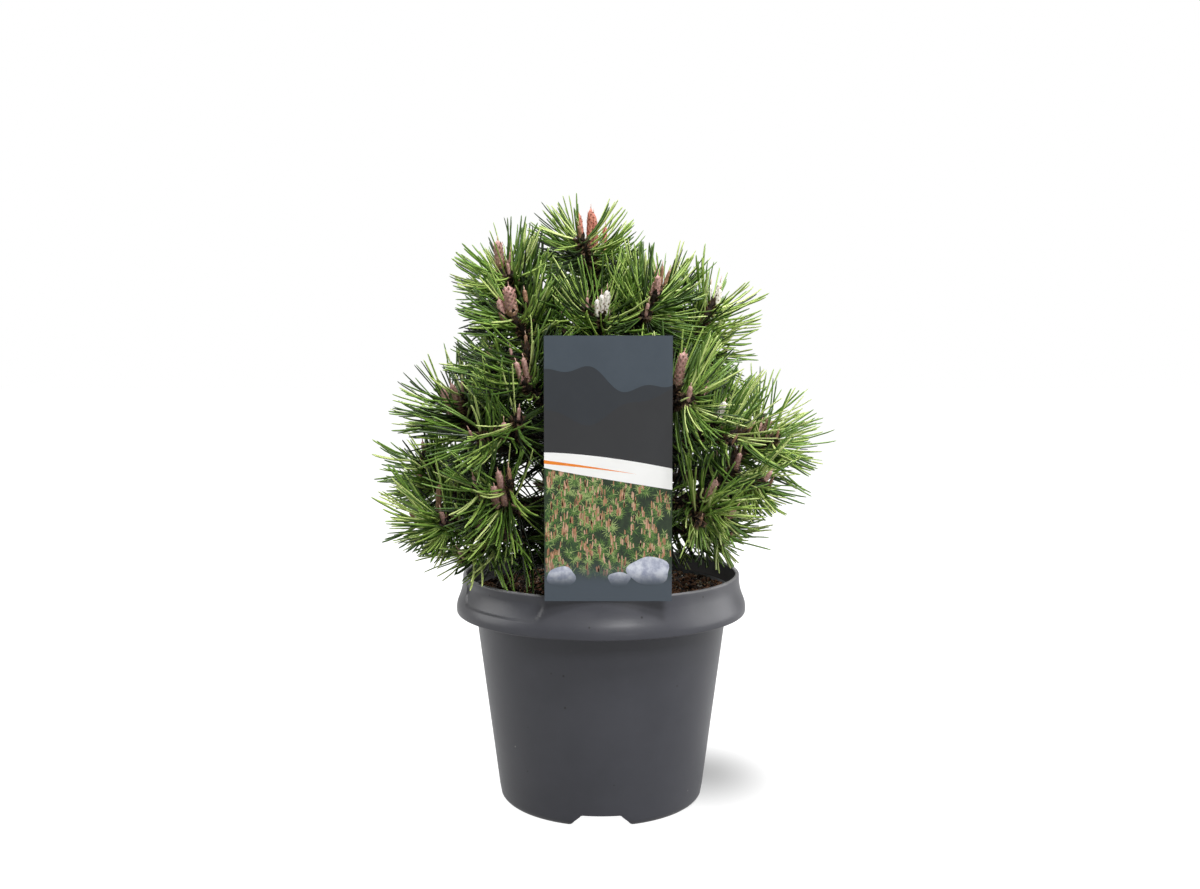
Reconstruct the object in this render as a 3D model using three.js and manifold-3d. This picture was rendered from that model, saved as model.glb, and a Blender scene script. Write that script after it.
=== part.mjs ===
// A mugo pine in its nursery pot, as separate closed solids: pot, potting mix, plant label,
// trunk, boughs and needle masses. Millimetres, +Z up, front towards -Y.
// The origin is the centre of the pot's flat underside.

import * as THREE from 'three';
import { mergeVertices } from 'three/addons/utils/BufferGeometryUtils.js';
import Module from 'manifold-3d';

const wasm = await Module();
wasm.setup();

// ---------------------------------------------------------------- driving dimensions

const GAP = 0.3; // between neighbouring solids

const POT = {
  height: 150,
  lipRadius: 91.2,
  lipThickness: 2.6,
  skirtRadius: 95.5,
  skirtBottom: 125.3,
  wallTopRadius: 83, // outside of the wall, level with the skirt's lower edge
  baseRadius: 67.4, // outside of the wall, where the rounded base edge begins
  baseEdge: 5,
  wall: 1.6,
  floor: 2,
  sides: 32,
};

// The skirt's profile, with heights above its lower edge.
const SKIRT = {
  roll: 1.8, // the lower edge curls in this far
  band: 8, // height of the rolled lower band
  lean: 1.2, // how much the band narrows up to its top
  neck: 15.2, // where the skirt ends at the straight lip
  neckStep: 0.6, // how far the neck stands out from the lip
  shoulder: 12, // where the wall inside steps out towards the lip
  shoulderStep: 2,
  grooveRoof: 1.2, // where the groove between skirt and wall turns out under the shoulder
  cutBelow: 3, // the groove's cutter starts this far below
};

const NOTCH = {
  count: 4,
  topWidth: 25,
  footWidth: 38,
  footHeight: 1, // of the straight sides at the foot
  bevel: 3, // the sides turn in this much, up to this height
  height: 8,
  innerEnd: 27,
  outerEnd: 76,
};
const DRAIN = { width: 5, length: 15, radius: 46 };

const MIX_LEVEL = 138; // top of the potting mix
const MIX_EDGE = { drop: 2, outer: 3, inner: 9 }; // it slumps towards the lip's inside

const LABEL = { width: 75, height: 156, thickness: 0.8, centreX: 4.1, bottom: 148.3 };
const TONGUE = { width: 14, thickness: 1, arm: 6.5, leg: 10.5 };

const TRUNK = {
  foot: [0, 0, MIX_LEVEL + GAP],
  lowerPull: [0, 0, 196],
  upperPull: [-16, -5, 262],
  tip: [-6, 0, 324],
  baseRadius: 7.2,
  tipRadius: 2.9,
  flare: 4.5,
  flareHeight: 0.045, // of the trunk's length
  sides: 10,
  steps: 14,
};

const FORKS = {
  lowest: 156, // heights where limbs leave the trunk
  highest: 298,
  turn: 70, // degrees between one limb and each of the two below it, where a choice allows
  choice: 7,
};
const LIMB_PULL = 0.38; // of its span, how far a limb runs straight at each end before it bends
const BOUGH = { baseRadius: 3.7, tipRadius: 2.9, sides: 5, steps: 4 };
const STEM = { length: 48, upturn: 22, baseRadius: 2.9, tipRadius: 2.3, sides: 5, steps: 3 };
const RISE = 1.6; // how strongly a bud turns up from its shoot, against 1 straight ahead
const TWIG = {
  count: 2,
  attempts: 12,
  forkFrom: 0.52, // of the stem's length
  forkSpread: 0.2,
  length: 24,
  lengthSpread: 8,
  spread: 40, // degrees from the stem
  spreadJitter: 12,
  radius: 2,
  sides: 4,
};
const TWIG_CLEAR = { stem: 17, twig: 9, limb: 8, open: 4 };
const BUD = { length: 20, radius: 3.1, sideLength: 10, sideRadius: 2.4, sunk: 4 };

const NEEDLE = {
  length: 44,
  lengthSpread: 8,
  radius: 1.5,
  sides: 3,
  sunk: 0.6, // a root starts this far behind the twig's axis
  onStem: 12,
  onTwig: 6,
  attempts: 4, // for each needle wanted
  tuft: 44, // length of stem that carries needles
  tuftFrom: 0.02, // of that length, where its needles begin
  tuftTo: 0.94,
  twigFrom: 0.25, // of a twig, where its needles begin
  rootAngle: 84, // to the twig, at the back of the tuft
  tipAngle: 55, // to the twig, round the bud
  tipLoss: 0.15, // the needles round the bud are shorter by this share
  angleJitter: 8,
  ownSpace: 3.4, // how much nearer to its own twigs than to any other
  apart: 3.8, // from the mass's other needles
  limbRoom: 2.2, // from another limb's surface
  probes: [0.25, 0.4, 0.55, 0.7, 0.85, 1], // shares of its length where its room is tested
};
// How far needles keep from the rim's inside, the rim or mix below them, and the label.
const OPEN = { insideRim: 8, aboveFloor: 2, besideLabel: 2, aboveLabel: 1, behindLabel: 1.5 };
const GOLDEN_SHARE = 0.618; // steps a row of needles evenly along a shoot
const GOLDEN_ANGLE = Math.PI * (3 - Math.sqrt(5)); // turns each needle from the last one

const RANDOM = { multiplier: 1664525, increment: 1013904223, range: 2 ** 32 };
const TWIG_SEED = { first: 7, step: 31 };
const NEEDLE_SEED = { first: 1009, step: 17 };
const WELD = 1e-4; // vertices nearer than this are one
const HALVINGS = 30; // to find a height on the trunk

// Every head of needles: [azimuth, reach, height of its bud's foot, lift of its limb, lift and turn
// of its shoot's end], with angles in degrees. Azimuth 0 is right, 90 is back, 270 is front.
const HEADS = {
  crown: [
    [193, 66, 349, 56, 72, 0],
    [226, 78, 318, 40, 56, 0],
    [271, 62, 319, 46, 56, 0],
    [307, 57, 331, 40, 60, 0],
    [354, 39, 337, 54, 75, 0],
    [350, 74, 328, 30, 66, 0],
    [90, 47, 330, 56, 66, 0],
    [42, 62, 311, 40, 58, 0],
    [140, 60, 316, 44, 60, 0],
    [217, 84, 290, 24, 38, 0],
  ],
  inner: [
    [278, 43, 255, 18, 30, 0],
    [284, 40, 216, 4, 16, 0],
  ],
  middle: [
    [201, 98, 257, 22, 54, 0],
    [239, 89, 279, 28, 46, 0],
    [235, 100, 248, 8, 12, 35],
    [300, 90, 275, 34, 52, 0],
    [321, 92, 254, 20, 42, 0],
    [358, 107, 241, 20, 46, 0],
    [32, 92, 246, 20, 46, 0],
    [73, 90, 256, 28, 50, 0],
    [116, 90, 246, 24, 48, 0],
    [158, 86, 256, 24, 48, 0],
  ],
  lower: [
    [210, 115, 198, 4, 50, 0],
    [234, 101, 205, 0, 20, 28],
    [190, 116, 213, 10, 32, 0],
    [221, 96, 186, -2, 24, 0],
    [337, 92, 221, 14, 50, 0],
    [311, 98, 208, -2, 22, 0],
    [350, 78, 188, 0, 30, 0],
    [26, 90, 205, 10, 40, 0],
    [67, 95, 198, 2, 36, 0],
    [107, 97, 206, 4, 38, 0],
    [148, 98, 200, 4, 38, 0],
  ],
};
const LEADER = [180, 7, 361, 88, 89, 0];

// ---------------------------------------------------------------- materials

const finish = (color, roughness) => new THREE.MeshStandardMaterial({ color, roughness, metalness: 0 });
const potPlastic = () => finish(0x46494d, 0.45);
const pottingMix = () => finish(0x2e221b, 0.95);
const labelCard = () => finish(0x4a5a68, 0.4);
const bark = () => finish(0x5b4838, 0.9);
const needles = () => finish(0x4f7a2c, 0.6);

// ---------------------------------------------------------------- seeded numbers and solids

function seeded(seed) {
  let state = seed >>> 0;
  return () => {
    state = (Math.imul(state, RANDOM.multiplier) + RANDOM.increment) >>> 0;
    return state / RANDOM.range;
  };
}

const radians = THREE.MathUtils.degToRad;
const vector = ([x, y, z]) => new THREE.Vector3(x, y, z);

function polar(azimuth, reach, height) {
  const angle = radians(azimuth);
  return new THREE.Vector3(reach * Math.cos(angle), reach * Math.sin(angle), height);
}

function aim(azimuth, lift) {
  return polar(azimuth, Math.cos(radians(lift)), Math.sin(radians(lift)));
}

// Welds a three.js geometry into one closed manifold solid.
function solidOf(geometry) {
  const bare = new THREE.BufferGeometry();
  bare.setAttribute('position', geometry.getAttribute('position'));
  bare.setIndex(geometry.getIndex());
  const welded = mergeVertices(bare, WELD);
  const index = welded.getIndex().array;
  const faces = [];
  for (let i = 0; i < index.length; i += 3) {
    const [a, b, c] = [index[i], index[i + 1], index[i + 2]];
    if (a !== b && b !== c && c !== a) {
      faces.push(a, b, c);
    }
  }
  return new wasm.Manifold(
    new wasm.Mesh({
      numProp: 3,
      vertProperties: new Float32Array(welded.getAttribute('position').array),
      triVerts: new Uint32Array(faces),
    }),
  );
}

function geometryOf(solid) {
  const { numProp, vertProperties, triVerts } = solid.getMesh();
  const geometry = new THREE.BufferGeometry();
  geometry.setAttribute('position', new THREE.BufferAttribute(new Float32Array(vertProperties), numProp));
  geometry.setIndex(new THREE.BufferAttribute(new Uint32Array(triVerts), 1));
  geometry.computeVertexNormals();
  return geometry;
}

function lathe(profile, sides) {
  const points = profile.map(([radius, height]) => new THREE.Vector2(radius, height));
  return solidOf(new THREE.LatheGeometry(points, sides).rotateX(Math.PI / 2));
}

// A limb is a capped cylinder bent along a curve, with a radius that follows the curve.
function limb(curve, radiusAt, sides, steps) {
  const geometry = new THREE.CylinderGeometry(1, 1, 1, sides, steps);
  const frames = curve.computeFrenetFrames(steps);
  const position = geometry.getAttribute('position');
  for (let i = 0; i < position.count; i++) {
    const step = Math.round((position.getY(i) + 0.5) * steps);
    const radius = radiusAt(step / steps);
    const point = curve.getPointAt(step / steps);
    point.addScaledVector(frames.normals[step], position.getX(i) * radius);
    point.addScaledVector(frames.binormals[step], -position.getZ(i) * radius);
    position.setXYZ(i, point.x, point.y, point.z);
  }
  return solidOf(geometry);
}

// Places a shape that was made along +Y so that it starts at a point and runs along a direction.
function standOn(geometry, start, direction, length) {
  const turn = new THREE.Quaternion().setFromUnitVectors(new THREE.Vector3(0, 1, 0), direction);
  geometry.translate(0, length / 2, 0);
  geometry.applyQuaternion(turn);
  geometry.translate(start.x, start.y, start.z);
  return geometry;
}

// ---------------------------------------------------------------- pot, potting mix and label

function wallRadius(height) {
  const slope = (POT.wallTopRadius - POT.baseRadius) / (POT.skirtBottom - POT.baseEdge);
  return POT.baseRadius + slope * (height - POT.baseEdge);
}

// A channel runs in from each notch in the base edge. grow makes it larger all round.
function notchChannels(grow) {
  const { count, topWidth, footWidth, footHeight, bevel, height, innerEnd, outerEnd } = NOTCH;
  const top = topWidth / 2 + grow;
  const foot = footWidth / 2 + grow;
  const section = new THREE.Shape();
  section.moveTo(-foot, -footHeight);
  section.lineTo(foot, -footHeight);
  section.lineTo(foot, footHeight);
  section.lineTo(foot - bevel, bevel);
  section.lineTo(top, height + grow);
  section.lineTo(-top, height + grow);
  section.lineTo(bevel - foot, bevel);
  section.lineTo(-foot, footHeight);
  const depth = outerEnd - innerEnd + grow;
  const geometry = new THREE.ExtrudeGeometry(section, { depth, bevelEnabled: false });
  geometry.rotateX(Math.PI / 2);
  geometry.translate(0, -(innerEnd - grow), 0);
  const channel = solidOf(geometry);
  const turn = 360 / count;
  return Array.from({ length: count }, (_, k) => channel.rotate([0, 0, k * turn]));
}

function drainSlots() {
  const slot = new THREE.BoxGeometry(DRAIN.width, DRAIN.length, 2 * NOTCH.height);
  slot.translate(0, -DRAIN.radius, NOTCH.height);
  const solid = solidOf(slot);
  return Array.from({ length: NOTCH.count }, (_, k) => solid.rotate([0, 0, (k * 360) / NOTCH.count]));
}

function roundedCorner(centreRadius, centreHeight, radius, fromAngle, toAngle, steps) {
  return Array.from({ length: steps + 1 }, (_, k) => {
    const angle = radians(fromAngle + ((toAngle - fromAngle) * k) / steps);
    return [centreRadius + radius * Math.cos(angle), centreHeight + radius * Math.sin(angle)];
  });
}

function potOutline() {
  const { height, lipRadius, lipThickness, skirtRadius, skirtBottom, wallTopRadius } = POT;
  const lip = lipThickness / 2;
  return [
    [0, 0],
    ...roundedCorner(POT.baseRadius - POT.baseEdge, POT.baseEdge, POT.baseEdge, -90, -8, 2),
    [wallTopRadius, skirtBottom],
    [skirtRadius - SKIRT.roll, skirtBottom - SKIRT.roll / 2],
    [skirtRadius, skirtBottom + SKIRT.roll],
    [skirtRadius - SKIRT.lean, skirtBottom + SKIRT.band],
    [lipRadius + SKIRT.neckStep, skirtBottom + SKIRT.neck],
    [lipRadius, height - lip],
    [lipRadius - lip, height],
    [0, height],
  ];
}

function cavityOutline() {
  const { height, lipRadius, lipThickness, skirtBottom, wall, floor, baseEdge } = POT;
  const lip = lipThickness / 2;
  return [
    [0, floor],
    [wallRadius(0) - wall - baseEdge + 1, floor],
    [wallRadius(baseEdge) - wall, baseEdge + 1],
    [wallRadius(skirtBottom) - wall, skirtBottom],
    [lipRadius - lipThickness - SKIRT.shoulderStep, skirtBottom + SKIRT.shoulder],
    [lipRadius - lipThickness, height - lip],
    [lipRadius - lip, height],
    [lipRadius - lip, height + 1],
    [0, height + 1],
  ];
}

// The skirt hangs clear of the wall, so a groove runs up between them from below.
function skirtGroove() {
  const { lipRadius, lipThickness, skirtRadius, skirtBottom, wall } = POT;
  const inner = wallRadius(skirtBottom) + 0.1;
  const outer = skirtRadius - wall;
  const below = skirtBottom - SKIRT.cutBelow;
  const neck = skirtBottom + SKIRT.neck;
  const lipInside = lipRadius - lipThickness;
  return lathe(
    [
      [inner, below],
      [outer, below],
      [outer, skirtBottom + SKIRT.roll],
      [outer - SKIRT.lean, skirtBottom + SKIRT.band],
      [lipRadius - wall / 2, neck],
      [lipInside + wall / 2, neck],
      [lipInside - SKIRT.shoulderStep + wall + GAP, skirtBottom + SKIRT.shoulder],
      [inner, skirtBottom + SKIRT.grooveRoof],
      [inner, below],
    ],
    POT.sides,
  );
}

function makePot() {
  let cavity = lathe(cavityOutline(), POT.sides);
  for (const channel of notchChannels(POT.wall)) {
    cavity = cavity.subtract(channel);
  }
  let pot = lathe(potOutline(), POT.sides).subtract(cavity).subtract(skirtGroove());
  for (const cutter of [...notchChannels(0), ...drainSlots()]) {
    pot = pot.subtract(cutter);
  }
  return pot;
}

function makeMix() {
  const { skirtBottom, wall, floor, baseEdge } = POT;
  const inset = wall + GAP;
  let mix = lathe(
    [
      [0, floor + GAP],
      [wallRadius(0) - inset - baseEdge, floor + GAP],
      [wallRadius(baseEdge) - inset - GAP, baseEdge + 2],
      [wallRadius(skirtBottom) - inset - GAP, skirtBottom],
      [POT.lipRadius - POT.lipThickness - MIX_EDGE.outer, MIX_LEVEL - MIX_EDGE.drop],
      [POT.lipRadius - POT.lipThickness - MIX_EDGE.inner, MIX_LEVEL],
      [0, MIX_LEVEL],
    ],
    POT.sides,
  );
  for (const channel of notchChannels(wall + GAP)) {
    mix = mix.subtract(channel);
  }
  return mix;
}

const labelBack = -(POT.lipRadius + GAP); // the card's back face, just off the lip

// The card stands in front of the rim, on a tongue that hooks over the lip into the pot.
function makeLabel() {
  const { width, height, thickness, centreX, bottom } = LABEL;
  const card = new THREE.BoxGeometry(width, thickness, height);
  card.translate(centreX, labelBack - thickness / 2, bottom + height / 2);
  const seat = POT.height + GAP;
  const inner = -labelBack - TONGUE.arm;
  const side = new THREE.Shape();
  side.moveTo(-labelBack + thickness / 2, seat);
  side.lineTo(-labelBack + thickness / 2, seat + TONGUE.thickness);
  side.lineTo(inner, seat + TONGUE.thickness);
  side.lineTo(inner, seat + TONGUE.thickness - TONGUE.leg);
  side.lineTo(inner + TONGUE.thickness, seat + TONGUE.thickness - TONGUE.leg);
  side.lineTo(inner + TONGUE.thickness, seat);
  const tongue = new THREE.ExtrudeGeometry(side, { depth: TONGUE.width, bevelEnabled: false });
  tongue.rotateX(Math.PI / 2);
  tongue.rotateZ(-Math.PI / 2);
  tongue.translate(centreX + TONGUE.width / 2, 0, 0);
  return solidOf(card).add(solidOf(tongue));
}

// ---------------------------------------------------------------- limbs

const trunkCurve = new THREE.CubicBezierCurve3(
  vector(TRUNK.foot),
  vector(TRUNK.lowerPull),
  vector(TRUNK.upperPull),
  vector(TRUNK.tip),
);

// The radius of a limb that narrows evenly from its base to its tip.
const taper = ({ baseRadius, tipRadius }) => (along) => baseRadius + (tipRadius - baseRadius) * along;

const trunkRadius = (along) => taper(TRUNK)(along) + TRUNK.flare * Math.exp(-along / TRUNK.flareHeight);

function trunkAt(height) {
  let [low, high] = [0, 1];
  for (let k = 0; k < HALVINGS; k++) {
    const middle = (low + high) / 2;
    if (trunkCurve.getPoint(middle).z < height) {
      low = middle;
    } else {
      high = middle;
    }
  }
  return trunkCurve.getPoint(low);
}

const turnBetween = (a, b) => Math.abs(((a.azimuth - b.azimuth + 540) % 360) - 180);

// Limbs leave the trunk in the order of their heads' heights, but each turned well away from
// the two below it where one of the next few heads allows that.
function orderForks(heads) {
  const waiting = [...heads].sort((a, b) => a.height - b.height || a.azimuth - b.azimuth);
  const order = [];
  while (waiting.length > 0) {
    const below = order.slice(-2);
    const turned = (head) => below.every((other) => turnBetween(head, other) > FORKS.turn);
    const found = waiting.slice(0, FORKS.choice).findIndex(turned);
    order.push(...waiting.splice(Math.max(found, 0), 1));
  }
  return order;
}

function newHead(name, [azimuth, reach, height, lift, endLift, turn], onBough) {
  return { name, azimuth, reach, height, lift, endLift, turn, onBough, fork: null };
}

function layHeads() {
  const heads = [];
  for (const [tier, rows] of Object.entries(HEADS)) {
    rows.forEach((row, k) => {
      const name = `${tier}_${String(k + 1).padStart(2, '0')}`;
      heads.push(newHead(name, row, tier === 'middle' || tier === 'lower'));
    });
  }
  orderForks(heads).forEach((head, rank) => {
    const share = rank / (heads.length - 1);
    head.fork = trunkAt(FORKS.lowest + (FORKS.highest - FORKS.lowest) * share);
  });
  heads.unshift(newHead('leader', LEADER, false));
  return heads;
}

// The way a bud points, turned up from the way its shoot runs.
const turnedUp = (direction) => direction.clone().add(new THREE.Vector3(0, 0, RISE)).normalize();

// The bough's curve runs from the trunk to its tip, and the stem carries on from there to the bud.
function layLimbs(head) {
  const ahead = aim(head.azimuth, head.lift);
  const direction = aim(head.azimuth + head.turn, head.endLift);
  const shootEnd = polar(head.azimuth, head.reach, head.height);
  const outward = aim(head.azimuth, Math.max(head.lift / 2, 0));
  if (head.fork === null) {
    const up = trunkCurve.getTangent(1);
    const start = trunkCurve.getPoint(1).addScaledVector(up, 2 * GAP);
    const pull = start.distanceTo(shootEnd) * LIMB_PULL;
    head.stem = new THREE.CubicBezierCurve3(
      start,
      start.clone().addScaledVector(up, pull),
      shootEnd.clone().addScaledVector(direction, -pull),
      shootEnd,
    );
  } else if (head.onBough) {
    const elbow = shootEnd.clone().addScaledVector(direction, -STEM.upturn);
    const boughTip = elbow.clone().addScaledVector(ahead, STEM.upturn - STEM.length);
    const pull = head.fork.distanceTo(boughTip) * LIMB_PULL;
    head.bough = new THREE.CubicBezierCurve3(
      head.fork,
      head.fork.clone().addScaledVector(outward, pull),
      boughTip.clone().addScaledVector(ahead, -pull),
      boughTip,
    );
    const start = boughTip.clone().addScaledVector(ahead, GAP);
    head.stem = new THREE.QuadraticBezierCurve3(start, elbow, shootEnd);
  } else {
    const pull = head.fork.distanceTo(shootEnd) * LIMB_PULL;
    head.stem = new THREE.CubicBezierCurve3(
      head.fork,
      head.fork.clone().addScaledVector(outward, pull),
      shootEnd.clone().addScaledVector(direction, -pull),
      shootEnd,
    );
  }
  head.direction = direction;
  head.shootEnd = shootEnd;
}

function segmentsAlong(curve, steps, owner, radius) {
  const points = curve.getPoints(steps);
  return points.slice(1).map((end, k) => ({ start: points[k], end, owner, radius }));
}

const nearest = new THREE.Vector3();
function distanceTo(segment, point) {
  return new THREE.Line3(segment.start, segment.end)
    .closestPointToPoint(point, true, nearest)
    .distanceTo(point);
}

const distanceToAny = (segments, point) =>
  segments.reduce((least, segment) => Math.min(least, distanceTo(segment, point)), Infinity);

// Needles and twigs stay above the rim, or above the mix inside it, and clear of the label.
function inTheOpen(point, room) {
  const insidePot = Math.hypot(point.x, point.y) < POT.lipRadius - OPEN.insideRim;
  const floor = insidePot ? MIX_LEVEL : POT.height;
  const besideLabel = Math.abs(point.x - LABEL.centreX) > LABEL.width / 2 + OPEN.besideLabel + room;
  const aboveLabel = point.z > LABEL.bottom + LABEL.height + OPEN.aboveLabel + room;
  const behindLabel = point.y > labelBack + OPEN.behindLabel + room;
  return point.z > floor + OPEN.aboveFloor + room && (besideLabel || aboveLabel || behindLabel);
}

// Two side twigs fork from each stem at a seeded roll, where there is room for them.
function forkTwigs(head, random, stems, limbs, twigs) {
  const otherStems = stems.filter((segment) => segment.owner !== head.name);
  head.twigs = [];
  for (let k = 0; k < TWIG.count; k++) {
    for (let attempt = 0; attempt < TWIG.attempts; attempt++) {
      const along = TWIG.forkFrom + TWIG.forkSpread * random();
      const roll = 2 * Math.PI * random();
      const spread = radians(TWIG.spread + TWIG.spreadJitter * (random() - 0.5));
      const length = TWIG.length + TWIG.lengthSpread * random();
      const start = head.stem.getPoint(along);
      const axis = head.stem.getTangent(along);
      const side = new THREE.Vector3(0, 0, 1).cross(axis).normalize().applyAxisAngle(axis, roll);
      const direction = axis.clone().multiplyScalar(Math.cos(spread)).addScaledVector(side, Math.sin(spread));
      const end = start.clone().addScaledVector(direction, length);
      const budTip = end.clone().addScaledVector(turnedUp(direction), BUD.sideLength);
      const free =
        distanceToAny(otherStems, end) > TWIG_CLEAR.stem &&
        distanceToAny(twigs, end) > TWIG_CLEAR.twig &&
        distanceToAny(twigs, budTip) > TWIG_CLEAR.twig &&
        distanceToAny(limbs, end) > TWIG_CLEAR.limb &&
        distanceToAny(limbs, budTip) > TWIG_CLEAR.limb &&
        inTheOpen(budTip, TWIG_CLEAR.open);
      if (free) {
        const twig = { start, end, direction, length, owner: head.name, radius: TWIG.radius };
        head.twigs.push(twig);
        twigs.push(twig);
        break;
      }
    }
  }
}

// ---------------------------------------------------------------- needle masses

function makeBud(foot, direction, length, radius) {
  const bud = new THREE.OctahedronGeometry(1, 0);
  const whole = length + BUD.sunk;
  bud.rotateY(Math.PI / 4);
  bud.scale(radius, whole / 2, radius);
  const start = foot.clone().addScaledVector(direction, -BUD.sunk);
  return solidOf(standOn(bud, start, direction, whole));
}

function makeNeedle(root, direction, length) {
  const needle = new THREE.ConeGeometry(NEEDLE.radius, length, NEEDLE.sides, 1);
  return solidOf(standOn(needle, root, direction, length));
}

// A needle is kept where it stays in its own mass's space, clear of every limb and of the
// mass's other needles.
function needleFits(root, direction, length, { own, others, limbs, grown }) {
  return NEEDLE.probes.every((share) => {
    const point = root.clone().addScaledVector(direction, length * share);
    const toOwn = distanceToAny(own, point);
    const inOwnSpace = toOwn > NEEDLE.apart && toOwn + NEEDLE.ownSpace < distanceToAny(others, point);
    return (
      inOwnSpace &&
      limbs.every((segment) => distanceTo(segment, point) > segment.radius + NEEDLE.limbRoom) &&
      distanceToAny(grown, point) > NEEDLE.apart &&
      inTheOpen(point, 0)
    );
  });
}

// Needles spiral round a shoot by the golden angle, spread wide at its back and closer at its tip.
function tuft(pointAt, tangentAt, from, wanted, random, space) {
  const turnOffset = 2 * Math.PI * random();
  const made = [];
  const candidates = wanted * NEEDLE.attempts;
  for (let k = 0; k < candidates && made.length < wanted; k++) {
    const along = NEEDLE.tuftFrom + (NEEDLE.tuftTo - NEEDLE.tuftFrom) * ((k * GOLDEN_SHARE) % 1);
    const root = pointAt(from + (1 - from) * along);
    const axis = tangentAt(from + (1 - from) * along);
    const wide = NEEDLE.rootAngle + (NEEDLE.tipAngle - NEEDLE.rootAngle) * along;
    const angle = radians(wide + NEEDLE.angleJitter * (random() - 0.5));
    const side = new THREE.Vector3(0, 0, 1).cross(axis).normalize();
    side.applyAxisAngle(axis, turnOffset + k * GOLDEN_ANGLE);
    const direction = axis.clone().multiplyScalar(Math.cos(angle)).addScaledVector(side, Math.sin(angle));
    const fullLength = NEEDLE.length + NEEDLE.lengthSpread * (random() - 0.5);
    const length = fullLength * (1 - NEEDLE.tipLoss * along);
    if (needleFits(root, direction, length, space)) {
      space.grown.push({ start: root.clone(), end: root.clone().addScaledVector(direction, length) });
      root.addScaledVector(direction, -NEEDLE.sunk);
      made.push(makeNeedle(root, direction, length + NEEDLE.sunk));
    }
  }
  return made;
}

function makeMass(head, random, space) {
  const { stem } = head;
  let mass = limb(stem, taper(STEM), STEM.sides, STEM.steps);
  mass = mass.add(makeBud(head.shootEnd, turnedUp(head.direction), BUD.length, BUD.radius));
  for (const twig of head.twigs) {
    const line = new THREE.LineCurve3(twig.start, twig.end);
    mass = mass.add(limb(line, () => TWIG.radius, TWIG.sides, 1));
    mass = mass.add(makeBud(twig.end, turnedUp(twig.direction), BUD.sideLength, BUD.sideRadius));
    const pointAt = (along) => twig.start.clone().lerp(twig.end, along);
    const tangentAt = () => twig.direction;
    for (const needle of tuft(pointAt, tangentAt, NEEDLE.twigFrom, NEEDLE.onTwig, random, space)) {
      mass = mass.add(needle);
    }
  }
  const from = 1 - NEEDLE.tuft / stem.getLength();
  const pointAt = (along) => stem.getPoint(along);
  const tangentAt = (along) => stem.getTangent(along);
  for (const needle of tuft(pointAt, tangentAt, Math.max(from, 0), NEEDLE.onStem, random, space)) {
    mass = mass.add(needle);
  }
  return mass;
}

// ---------------------------------------------------------------- assembly

const plant = new THREE.Group();

function place(name, solid, material) {
  const mesh = new THREE.Mesh(geometryOf(solid), material);
  mesh.name = name;
  plant.add(mesh);
}

function growTree() {
  const sleeveRadius = (along) => trunkRadius(along) + GAP;
  const trunkSleeve = limb(trunkCurve, sleeveRadius, TRUNK.sides, TRUNK.steps);
  place('trunk', limb(trunkCurve, trunkRadius, TRUNK.sides, TRUNK.steps), bark());

  const heads = layHeads();
  heads.forEach(layLimbs);
  const trunkSegments = segmentsAlong(trunkCurve, TRUNK.steps, 'trunk', TRUNK.baseRadius);
  const boughs = heads
    .filter((head) => head.bough)
    .flatMap((head) => segmentsAlong(head.bough, 2 * BOUGH.steps, head.name, BOUGH.baseRadius));
  const stems = heads.flatMap((head) => segmentsAlong(head.stem, 2 * STEM.steps, head.name, STEM.baseRadius));
  const limbs = [...trunkSegments, ...boughs];

  const twigs = [];
  heads.forEach((head, k) => {
    forkTwigs(head, seeded(TWIG_SEED.first + TWIG_SEED.step * k), stems, limbs, twigs);
  });

  heads.forEach((head, k) => {
    if (head.bough) {
      const bough = limb(head.bough, taper(BOUGH), BOUGH.sides, BOUGH.steps);
      place(`bough_${head.name}`, bough.subtract(trunkSleeve), bark());
    }
    const isOwn = (segment) => segment.owner === head.name;
    const space = {
      own: [...stems, ...twigs].filter(isOwn),
      others: [...stems, ...twigs].filter((segment) => !isOwn(segment)),
      limbs: limbs.filter((segment) => !isOwn(segment)),
      grown: [],
    };
    let mass = makeMass(head, seeded(NEEDLE_SEED.first + NEEDLE_SEED.step * k), space);
    if (!head.onBough && head.fork !== null) {
      mass = mass.subtract(trunkSleeve);
    }
    place(`needles_${head.name}`, mass, needles());
  });
}

place('pot', makePot(), potPlastic());
place('potting_mix', makeMix(), pottingMix());
place('plant_label', makeLabel(), labelCard());
growTree();

export default plant;
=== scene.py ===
"""A mugo pine in its nursery pot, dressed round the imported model.

Shapes are worked out in millimetres, +Z up and the front towards -Y, and each mesh is scaled
to metres when it is made. The tree grows by the same seeded rule as its solids do.
"""

import math

import bmesh
import bpy
import numpy as np
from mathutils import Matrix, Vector, noise


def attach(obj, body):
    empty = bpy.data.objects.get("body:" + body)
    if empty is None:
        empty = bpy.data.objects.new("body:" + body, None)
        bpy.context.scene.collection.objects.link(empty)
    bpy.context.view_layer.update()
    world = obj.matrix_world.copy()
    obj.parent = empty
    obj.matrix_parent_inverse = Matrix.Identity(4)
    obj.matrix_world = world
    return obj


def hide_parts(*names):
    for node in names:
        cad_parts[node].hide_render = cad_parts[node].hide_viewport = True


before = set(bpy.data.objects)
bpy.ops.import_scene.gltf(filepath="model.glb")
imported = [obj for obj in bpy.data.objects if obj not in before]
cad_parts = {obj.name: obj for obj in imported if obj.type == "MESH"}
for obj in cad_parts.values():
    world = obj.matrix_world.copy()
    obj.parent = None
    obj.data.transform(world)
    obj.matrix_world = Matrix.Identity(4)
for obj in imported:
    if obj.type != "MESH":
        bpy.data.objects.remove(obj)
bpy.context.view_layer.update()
scene = bpy.context.scene

# ------------------------------------------------------------------ driving dimensions, mm

MM = 0.001
GAP = 0.3

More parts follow.
